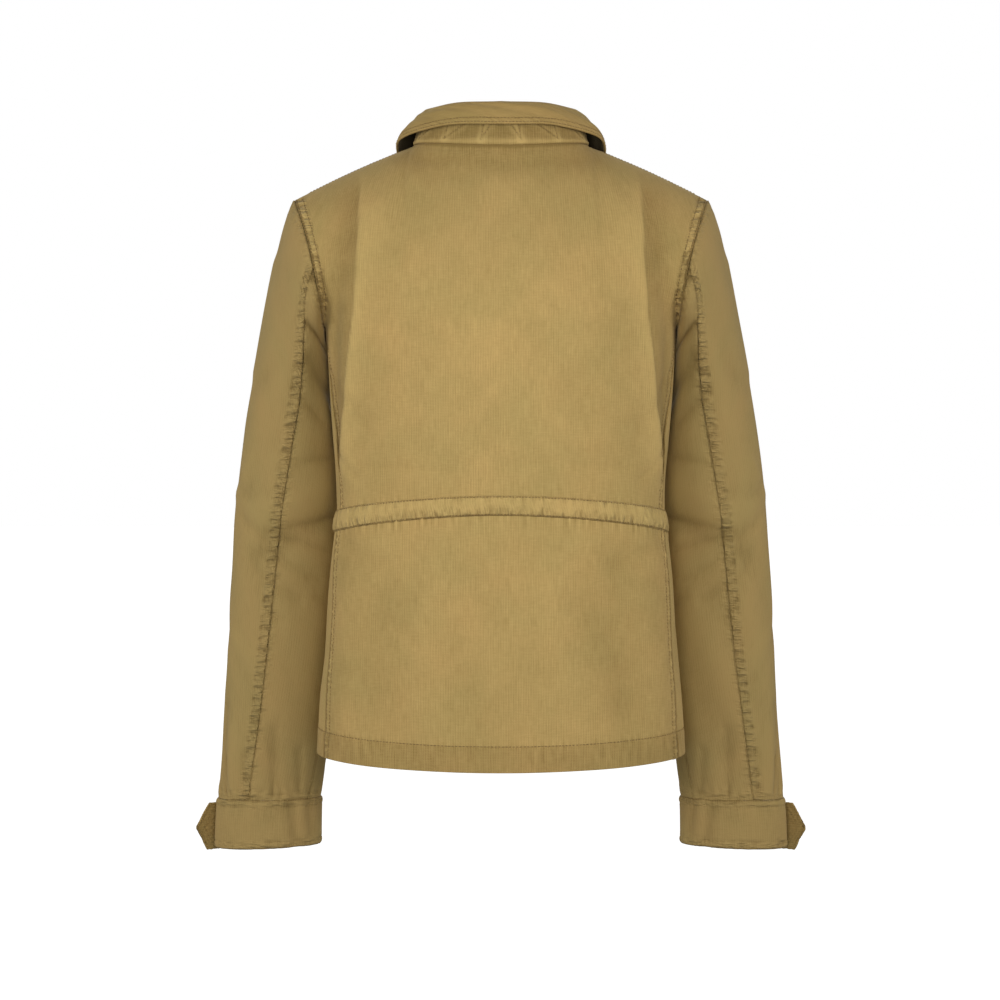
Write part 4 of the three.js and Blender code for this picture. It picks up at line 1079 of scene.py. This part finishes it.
# outward on the collar, from places a little before and after
def collarNormal(surface, angle, place, turn):
    return outward(surface, angle, np.maximum(place - 0.02, 0.01), np.minimum(place + 0.02, 1), turn)


# the stand's quilting, the same to both sides of centre back: from the foot of each steep line a long one
# climbs towards the centre to the head of the next
def quilting():
    quilt = collar["quilting"]
    low, high = quilt["low"], quilt["high"]
    feet = quilt["first"] + quilt["pitch"] * np.arange(quilt["count"])
    lines = []
    for foot, inner in zip(feet, np.concatenate([[0], feet[:-1]])):
        head, start = foot - quilt["lean"], max(inner - quilt["lean"], 0)
        lines += [(foot, low, head, high), (foot, low, start, high)]
    return lines + [(-x0, y0, -x1, y1) for x0, y0, x1, y1 in lines]


# the collar's fall, with two rows of stitches round its edge
def buildFall():
    end, (columns, rows) = collar["endAngle"], collar["fallSteps"]
    angle, down = np.meshgrid(np.linspace(-end, end, columns), np.linspace(0, 1, rows) ** 1.15)
    points = fallPoint(angle, down)
    normals = collarNormal(fallPoint, angle, down, 1)
    across, drop = lengthAlong(points, 1), lengthAlong(points, 0)
    toEdge = drop[-1:] - drop
    toFront = np.minimum(across, across[:, -1:] - across)
    edge = np.minimum(toEdge, toFront)
    first, second = collar["fallRows"]
    alongEdge = np.where(toEdge < toFront, across, drop)
    detail = (doubleRow(edge, alongEdge, 91, first, second, 0.35, 0.34, 0.1)
              - 0.9 * bell(edge, 0.8) + 0.4 * bell(edge - 1.6, 1.2))
    relief = 0.5 * waves(92, (across, drop), (70, 40)) * smooth(down, 0, 0.3)
    # painted shade along the edge and in the stitch grooves, a painted highlight on the rolled edge, and the
    # whole fall painted darker as shade
    tone = 1.5 * detail - collar["fallShade"]
    shape = dress("collarFall", points, normals, relief + detail, tone, np.stack([across, -drop], -1),
                  collar["fall"], "collar_fall", turn=1)
    for inset in (first, second):
        line, up = lineWhere(-edge.T, -inset, shape.transpose(1, 0, 2), normals.transpose(1, 0, 2))
        keep = toFront[0] > inset + 1
        sew("collar", line[keep], up[keep])
        for flip in (slice(None), slice(None, None, -1)):
            line, up = lineWhere(lengthAlong(points[:, flip], 1), inset, shape[:, flip], normals[:, flip])
            keep = (down[:, 0] > 0.15) & (toEdge[:, 0] > inset)
            sew("collar", line[keep], up[keep])


# the collar's stand: grooves and pads by its quilting, a wider ridge over the neck seam at the middle
def buildStand():
    end, (columns, rows) = collar["endAngle"], collar["standSteps"]
    angle, rise = np.meshgrid(np.linspace(-end, end, columns), np.linspace(0, 1, rows))
    points = standPoint(angle, rise)
    normals = collarNormal(standPoint, angle, rise, -1)
    across, up = lengthAlong(points, 1), lengthAlong(points, 0)
    middle = across.shape[1] // 2
    across = across - across[:, middle:middle + 1]
    tall, foot = up[-1, middle], np.broadcast_to(across[0], across.shape)
    lines = [(x0, y0 * tall, x1, y1 * tall) for x0, y0, x1, y1 in quilting()]
    grooves = foldHeight([(*ends, 1.2, -0.6) for ends in lines], foot, rise * tall, 1)
    pads = foldHeight([(*ends, 4.0, 0.5) for ends in lines], foot, rise * tall, 1)
    middling = bell(across, 50)
    ridge = bell(up - mix(2.4, 4.2, middling), mix(1.7, 3.4, middling))
    detail = grooves + pads + 1.2 * ridge + 0.25 * waves(93, (across, up), (8, 9), 9) * (1 - bell(up, 1))
    # painted shade in the quilting grooves and at the foot, painted light on the pads and the ridge, and the
    # whole stand painted darker as shade under the fall
    tone = 2.6 * (grooves + pads) + 1.8 * ridge - 1.5 * bell(up, 1) - collar["standShade"]
    dress("collarStand", points, normals, detail, tone, np.stack([across, up], -1),
          collar["stand"], "collar_stand", turn=-1)
    for x0, y0, x1, y1 in quilting():
        t = np.linspace(0, 1, 40)
        there, height = np.interp(mix(x0, x1, t), across[0], angle[0]), mix(y0, y1, t)
        sew("collar", standPoint(there, height), collarNormal(standPoint, there, height, -1), 3.0, 2.3)


buildFall()
buildStand()
print("collar done")


casing = {
    "cloth": 1.1, "slot": "twill_trim", "material": twillTrim, "inside": twillTrim,
    "edge": 0.55, "puff": 2.1, "steps": 20, "wide": 2.4, "over": 0.06, "rowAt": 1.3, "flyRoom": 3.5,
    "backFlat": (0.33, 0.023), "frontFlat": (0.225, 0.023),
}


# a strip over the body's rows at the waist, puffed between its two rows of stitches by a power of the sine
def buildCasing(name, node, start, end, isBack, flat):
    low, high = body["casing"]
    shares = np.linspace(start, end, int(abs(end - start) * panel["halfWidth"] / casing["wide"]) + 1)
    rows = np.linspace(low - casing["over"], high + casing["over"], casing["steps"] + 1)
    share, row = np.meshgrid(shares, rows)
    points, normals = bodyPoint(share, row, isBack), bodyNormal(share, row, isBack)
    across, up = lengthAlong(points, 1), lengthAlong(points, 0)
    fromEdge = np.minimum(up, up[-1:] - up)
    puff = np.clip(np.sin(np.pi * up / up[-1:]), 0, 1) ** 0.8
    seed = 100 + 7 * isBack + int(start > 0)
    lower, upper = 1 - smooth(up, 2, 12), smooth(up, 5, 15)
    ripple = (0.6 * lower * waves(seed, (across, up), (6.5, 60), 9)
              + 0.3 * upper * waves(seed + 1, (across, up), (8, 60), 9))
    sag = waves(seed + 2, (across,), (80,), 4) * 0.3
    detail = ripple * smooth(fromEdge, 0, 1.5) - 0.4 * bell(fromEdge - casing["rowAt"], 0.8)
    height = casing["edge"] + (casing["puff"] + sag) * puff + bodyRelief(share, row, points[..., 2], isBack)
    seamEdge = np.abs(share) > 1 - 1e-9
    points[..., 1] += np.where(seamEdge, (1 if isBack else -1) * body["seamGap"] / 2, 0)
    style = {**casing, "flat": flat}
    # painted shade along both edges and in the stitch grooves, and the ripples painted paler on top and
    # darker between
    tone = 0.8 + 1.4 * detail - 1.9 * bell(up, 1.0) - 1.0 * bell(up[-1:] - up, 1.0)
    band = 1.0 * bell(up - 4, 5) + 0.6 * bell(up[-1:] - up - 3, 4)
    shape = dress(name, points, normals, height + detail, tone, np.stack([across, up], -1),
                  style, node, turn=-1 if isBack else 1, band=band)
    for field, value in ((up, casing["rowAt"]), (up - up[-1:], -casing["rowAt"])):
        line, out = lineWhere(field.T, value, shape.transpose(1, 0, 2), normals.transpose(1, 0, 2))
        sew("body", line, out, 3.0, 2.2)


leftStart = (fly["left"] + casing["flyRoom"]) / fly["span"]
rightEnd = (fly["right"] - casing["flyRoom"]) / fly["span"]
buildCasing("casingBack", "casing_back", -1, 1, True, casing["backFlat"])
buildCasing("casingLeft", "casing_left", leftStart, 1, False, casing["frontFlat"])
buildCasing("casingRight", "casing_right", -1, rightEnd, False, casing["frontFlat"])
print("casing done")

placket = {
    "cloth": 1.5, "slot": "twill", "material": twillCloth, "inside": twillInside,
    "lift": 2.1, "wide": 1.5, "rows": (1.6, 38.0), "flat": (0.044, 0.525), "area": None,
}
button = {
    "slot": "button", "material": buttonPlastic, "radius": 9, "thick": 3.2, "rim": 1.1, "rimWide": 2.2,
    "room": 0.6, "turns": 48,
    "centreX": -4, "count": 6, "lowZ": -545, "highZ": -96, "slit": 22, "hole": 1.05, "holeAt": 2.3,
    "tabRadius": 7, "tabThick": 2.8, "tabAngle": -60,
}


# the fly strip over the fronts
def buildPlacket():
    start, end = fly["right"] / fly["span"], fly["left"] / fly["span"]
    rows = rowPlaces.copy()
    rows[-1] -= fly["topTrim"]
    share, row = np.meshgrid(np.linspace(start, end, 31), rows)
    points, normals = bodyPoint(share, row, False), bodyNormal(share, row, False)
    across, up = lengthAlong(points, 1), lengthAlong(points, 0)
    toLeft = across[:, -1:] - across
    toEnd = np.minimum(up, up[-1:] - up)
    edge = np.minimum(np.minimum(across, toLeft), toEnd)
    detail = (-0.35 * sum(bell(toLeft - at, 0.9) for at in placket["rows"]) - 0.6 * bell(edge, 0.8)
              + 0.22 * waves(121, (up, across), (8, 30), 9) * bell(np.minimum(across, toLeft) - 1, 5))
    relief = bodyRelief(share, row, points[..., 2], False)
    # the relief also paints the strip darker at its edges and in its stitch grooves, as painted shade
    shape = dress("placket", points, normals, relief + placket["lift"] + detail, detail,
                  np.stack([across, up], -1), placket, "front_placket", turn=1)
    for at in placket["rows"]:
        line, out = lineWhere(-toLeft, -at, shape, normals)
        sew("body", line[2:-2], out[2:-2])


buildPlacket()


# a button: rings from the foot out, up the side, over the raised rim and in to the middle, with four holes
def buildButton(name, node, centre, axis, grain, radius, thick):
    axis, grain = unit(axis), unit(grain - axis * (grain @ axis))
    other = np.cross(axis, grain)
    rim, dish, turns = radius - button["rimWide"], thick - button["rim"], button["turns"]
    profile = np.array([
        [0, 0], [radius - 0.5, 0], [radius, 0.5], [radius, thick - 0.7], [radius - 0.35, thick - 0.2],
        [radius - 0.9, thick], [rim + 0.3, thick], [rim - 0.3, thick - 0.35], [rim - 0.8, dish],
        [rim - 1.2, dish - 0.05], [3.9, dish - 0.1]])
    inner = np.stack([np.linspace(3.7, 0, 15), np.full(15, dish - 0.1)], -1)
    radii, heights = np.concatenate([profile, inner]).T
    turn, r = np.meshgrid(np.linspace(0, 2 * np.pi, turns + 1)[:-1], radii)
    height = np.repeat(heights[:, None], turns, 1)
    x, y = r * np.cos(turn), r * np.sin(turn)
    at = button["holeAt"] / np.sqrt(2)
    pit = sum(bell(np.hypot(x - sx * at, y - sy * at), button["hole"]) ** 1.6
              for sx in (1, -1) for sy in (1, -1))
    onDish = np.arange(len(radii))[:, None] >= len(profile) - 1
    height = height - np.where(onDish, 1.5 * np.clip(pit, 0, 1), 0)
    points = centre + x[..., None] * grain + y[..., None] * other + height[..., None] * axis
    made = gridMesh(name, points, np.stack([x, y], -1), -pit, -1, ring=0.001)
    made.data.materials.append(button["material"])
    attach(made, "root")
    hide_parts(node)
    floor, size = centre + axis * (dish + 0.15), np.array([2 * at + 1.4])
    for sx in (1, -1):
        for shift in (-0.25, 0.25):
            middle = floor + grain * (sx * at + shift)
            sewn.setdefault("buttons", []).append((middle[None], other[None], grain[None], axis[None], size))


# the row whose centre front is at a height
def rowAtHeight(z):
    rows = np.linspace(0, body["underarm"] + 1, 4001)
    heights = bodyPoint(np.zeros_like(rows), rows, False)[:, 2]
    return np.interp(z, heights, rows)


# a worked buttonhole: two close rows of stitches beside a slit
def buttonhole(share, z):
    rows = rowAtHeight(z + np.linspace(-1, 1, 9) * button["slit"] / 2)
    for shift in (-0.8, 0.8):
        where = np.full_like(rows, share + shift / fly["span"])
        line, out = bodyPoint(where, rows, False), bodyNormal(where, rows, False)
        relief = bodyRelief(where, rows, line[:, 2], False) + placket["lift"]
        sew("body", line + out * relief[:, None], out, 0.9, 1.5)


heights = np.linspace(button["lowZ"], button["highZ"], button["count"])
for number, z in enumerate(heights, 1):
    share, row = np.array(button["centreX"] / fly["span"]), rowAtHeight(z)
    point, normal = bodyPoint(share, row, False), bodyNormal(share, row, False)
    lift = bodyRelief(share, row, point[2], False) + placket["lift"] + button["room"]
    buildButton(f"button{number}", f"button_{number}", point + normal * lift, normal, upward,
                button["radius"], button["thick"])
    buttonhole(float(share), z)
for side, word in ((1, "left"), (-1, "right")):
    mirror = np.array([side, 1, 1])
    normal = cuffNormal(button["tabAngle"], 1.0)
    centre = cuffPoint(button["tabAngle"], 1.0, tab["lift"] + button["room"])
    buildButton(f"tabButton{word.title()}", f"tab_button_{word}", centre * mirror, normal * mirror, upward,
                button["tabRadius"], button["tabThick"])
print("fly and buttons done")


# a seam's row on a panel at a distance from its side edge, between two rows
def sewSide(grid, side, distance, rowLow, rowHigh, group="body"):
    flip = slice(None) if side > 0 else slice(None, None, -1)
    across = grid["across"][:, flip]
    field = -np.abs(across[:, -1:] - across)
    line, out = lineWhere(field, -distance, grid["points"][:, flip], grid["normals"][:, flip])
    rows = grid["row"][:, 0]
    keep = (rows >= rowLow) & (rows <= rowHigh)
    sew(group, line[keep], out[keep])


# a row along a panel at a height over its hem or under its top, between two shares
def sewAcross(grid, field, value, low, high, group="body"):
    way = 1 if field == "up" else -1
    line, out = lineWhere(way * grid[field].T, way * value,
                          grid["points"].transpose(1, 0, 2), grid["normals"].transpose(1, 0, 2))
    share = grid["share"][0]
    keep = (share >= low) & (share <= high)
    sew(group, line[keep], out[keep])


for side in (1, -1):
    for distance in panel["seamRows"]:
        sewSide(backGrid, side, distance, 0, 11.7)
    for distance in panel["armRows"]:
        sewSide(backGrid, side, distance, 12.06, 12.99)
        sewSide(leftGrid if side > 0 else rightGrid, side, distance, 12.06, 12.99)
    for distance in panel["shoulderRows"]:
        sewAcross(backGrid, "toTop", distance, *((0.46, 0.955) if side > 0 else (-0.955, -0.46)))
for grid, low, high in ((backGrid, -1, 1), (leftGrid, -0.02, 1), (rightGrid, -1, -0.04)):
    sewAcross(grid, "up", panel["hem"], low, high)
for side in (1, -1):
    grid = sleeveGrids["top", side]
    for distance in sleeve["hindRows"]:
        line, out = lineWhere(-grid["toHind"], -distance, grid["points"], grid["normals"])
        keep = grid["row"][:, 0] > 0.7
        sew("sleeves", line[keep], out[keep])
    line, out = lineWhere(grid["toInner"], sleeve["innerRow"], grid["points"], grid["normals"])
    keep = grid["row"][:, 0] > 1.5
    sew("sleeves", line[keep], out[keep])
for group, name in (("body", "stitchesBody"), ("sleeves", "stitchesSleeves"), ("cuffs", "stitchesCuffs"),
                    ("collar", "stitchesCollar"), ("buttons", "buttonThread")):
    made = sewingMesh(group, name)
    made.data.materials.append(thread)
    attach(made, "root")
stitchCount = sum(len(part[0]) for rows in sewn.values() for part in rows)
print("sewing done:", stitchCount, "stitches")


stage = {"floorZ": -1.5, "floorSize": 400, "floorColour": colour(0.95, 0.95, 0.95), "floorGlow": 0.9}
light = {   # place, size, watts
    "sky": 0.27, "aim": (0, 0, -0.34),
    "key": (0.15, 2.7, -0.1, 1.3, 13.5), "middle": (0.0, 0.95, -0.13, 0.4, 3.0),
    "top": (0.0, 0.4, 1.9, 1.6, 2),
    "fillLeft": (2.6, 1.3, -0.15, 1.4, 33), "fillRight": (-2.6, 1.3, -0.15, 1.4, 30),
    "front": (0, -3.0, 0.3, 2.2, 34),
}


# the floor glows as white as the sky behind it, but lights nothing
def flatPlane(name, size, z, paint):
    mesh = bpy.data.meshes.new(name)
    s = size / 2
    mesh.from_pydata([(-s, -s, z), (s, -s, z), (s, s, z), (-s, s, z)], [], [(0, 1, 2, 3)])
    made = bpy.data.objects.new(name, mesh)
    bpy.context.scene.collection.objects.link(made)
    sh = Shader(name)
    made.data.materials.append(sh.finish({"Base Color": paint, "Roughness": 0.9, "Emission Color": paint,
                                          "Emission Strength": stage["floorGlow"]}))
    made.visible_diffuse = made.visible_glossy = False
    return made


flatPlane("floor", stage["floorSize"], stage["floorZ"], stage["floorColour"])


# a round lamp that faces the middle of the jacket
def softLight(name, x, y, z, size, watts):
    data = bpy.data.lights.new(name, "AREA")
    data.shape, data.size, data.energy = "DISK", size, watts
    made = bpy.data.objects.new(name, data)
    made.location = (x, y, z)
    made.rotation_mode = "QUATERNION"
    made.rotation_quaternion = (Vector(light["aim"]) - made.location).to_track_quat("-Z", "Y")
    made.visible_camera = False
    bpy.context.scene.collection.objects.link(made)


for name in ("key", "middle", "top", "fillLeft", "fillRight", "front"):
    softLight(name, *light[name])

world = bpy.data.worlds.new("studio")
bpy.context.scene.world = world
world.use_nodes = True
sky = world.node_tree
sky.nodes.clear()
seen = sky.nodes.new("ShaderNodeBackground")
seen.inputs[0].default_value, seen.inputs[1].default_value = (1, 1, 1, 1), 1.0
lit = sky.nodes.new("ShaderNodeBackground")
lit.inputs[0].default_value, lit.inputs[1].default_value = (1, 0.99, 0.97, 1), light["sky"]
path = sky.nodes.new("ShaderNodeLightPath")
either = sky.nodes.new("ShaderNodeMixShader")
end = sky.nodes.new("ShaderNodeOutputWorld")
sky.links.new(path.outputs["Is Camera Ray"], either.inputs[0])
sky.links.new(lit.outputs[0], either.inputs[1])
sky.links.new(seen.outputs[0], either.inputs[2])
sky.links.new(either.outputs[0], end.inputs[0])
bpy.context.scene.view_settings.view_transform = "Standard"

view = {"lens": 85, "sensor": 36, "place": (0.0009, 2.267, -0.336)}
eye = bpy.data.cameras.new("camera")
eye.lens, eye.sensor_width = view["lens"], view["sensor"]
eye.clip_end = 100
camera = bpy.data.objects.new("camera", eye)
camera.location = view["place"]
camera.rotation_mode = "QUATERNION"
camera.rotation_quaternion = Vector((0, -1, 0)).to_track_quat("-Z", "Y")
bpy.context.scene.collection.objects.link(camera)
bpy.context.scene.camera = camera
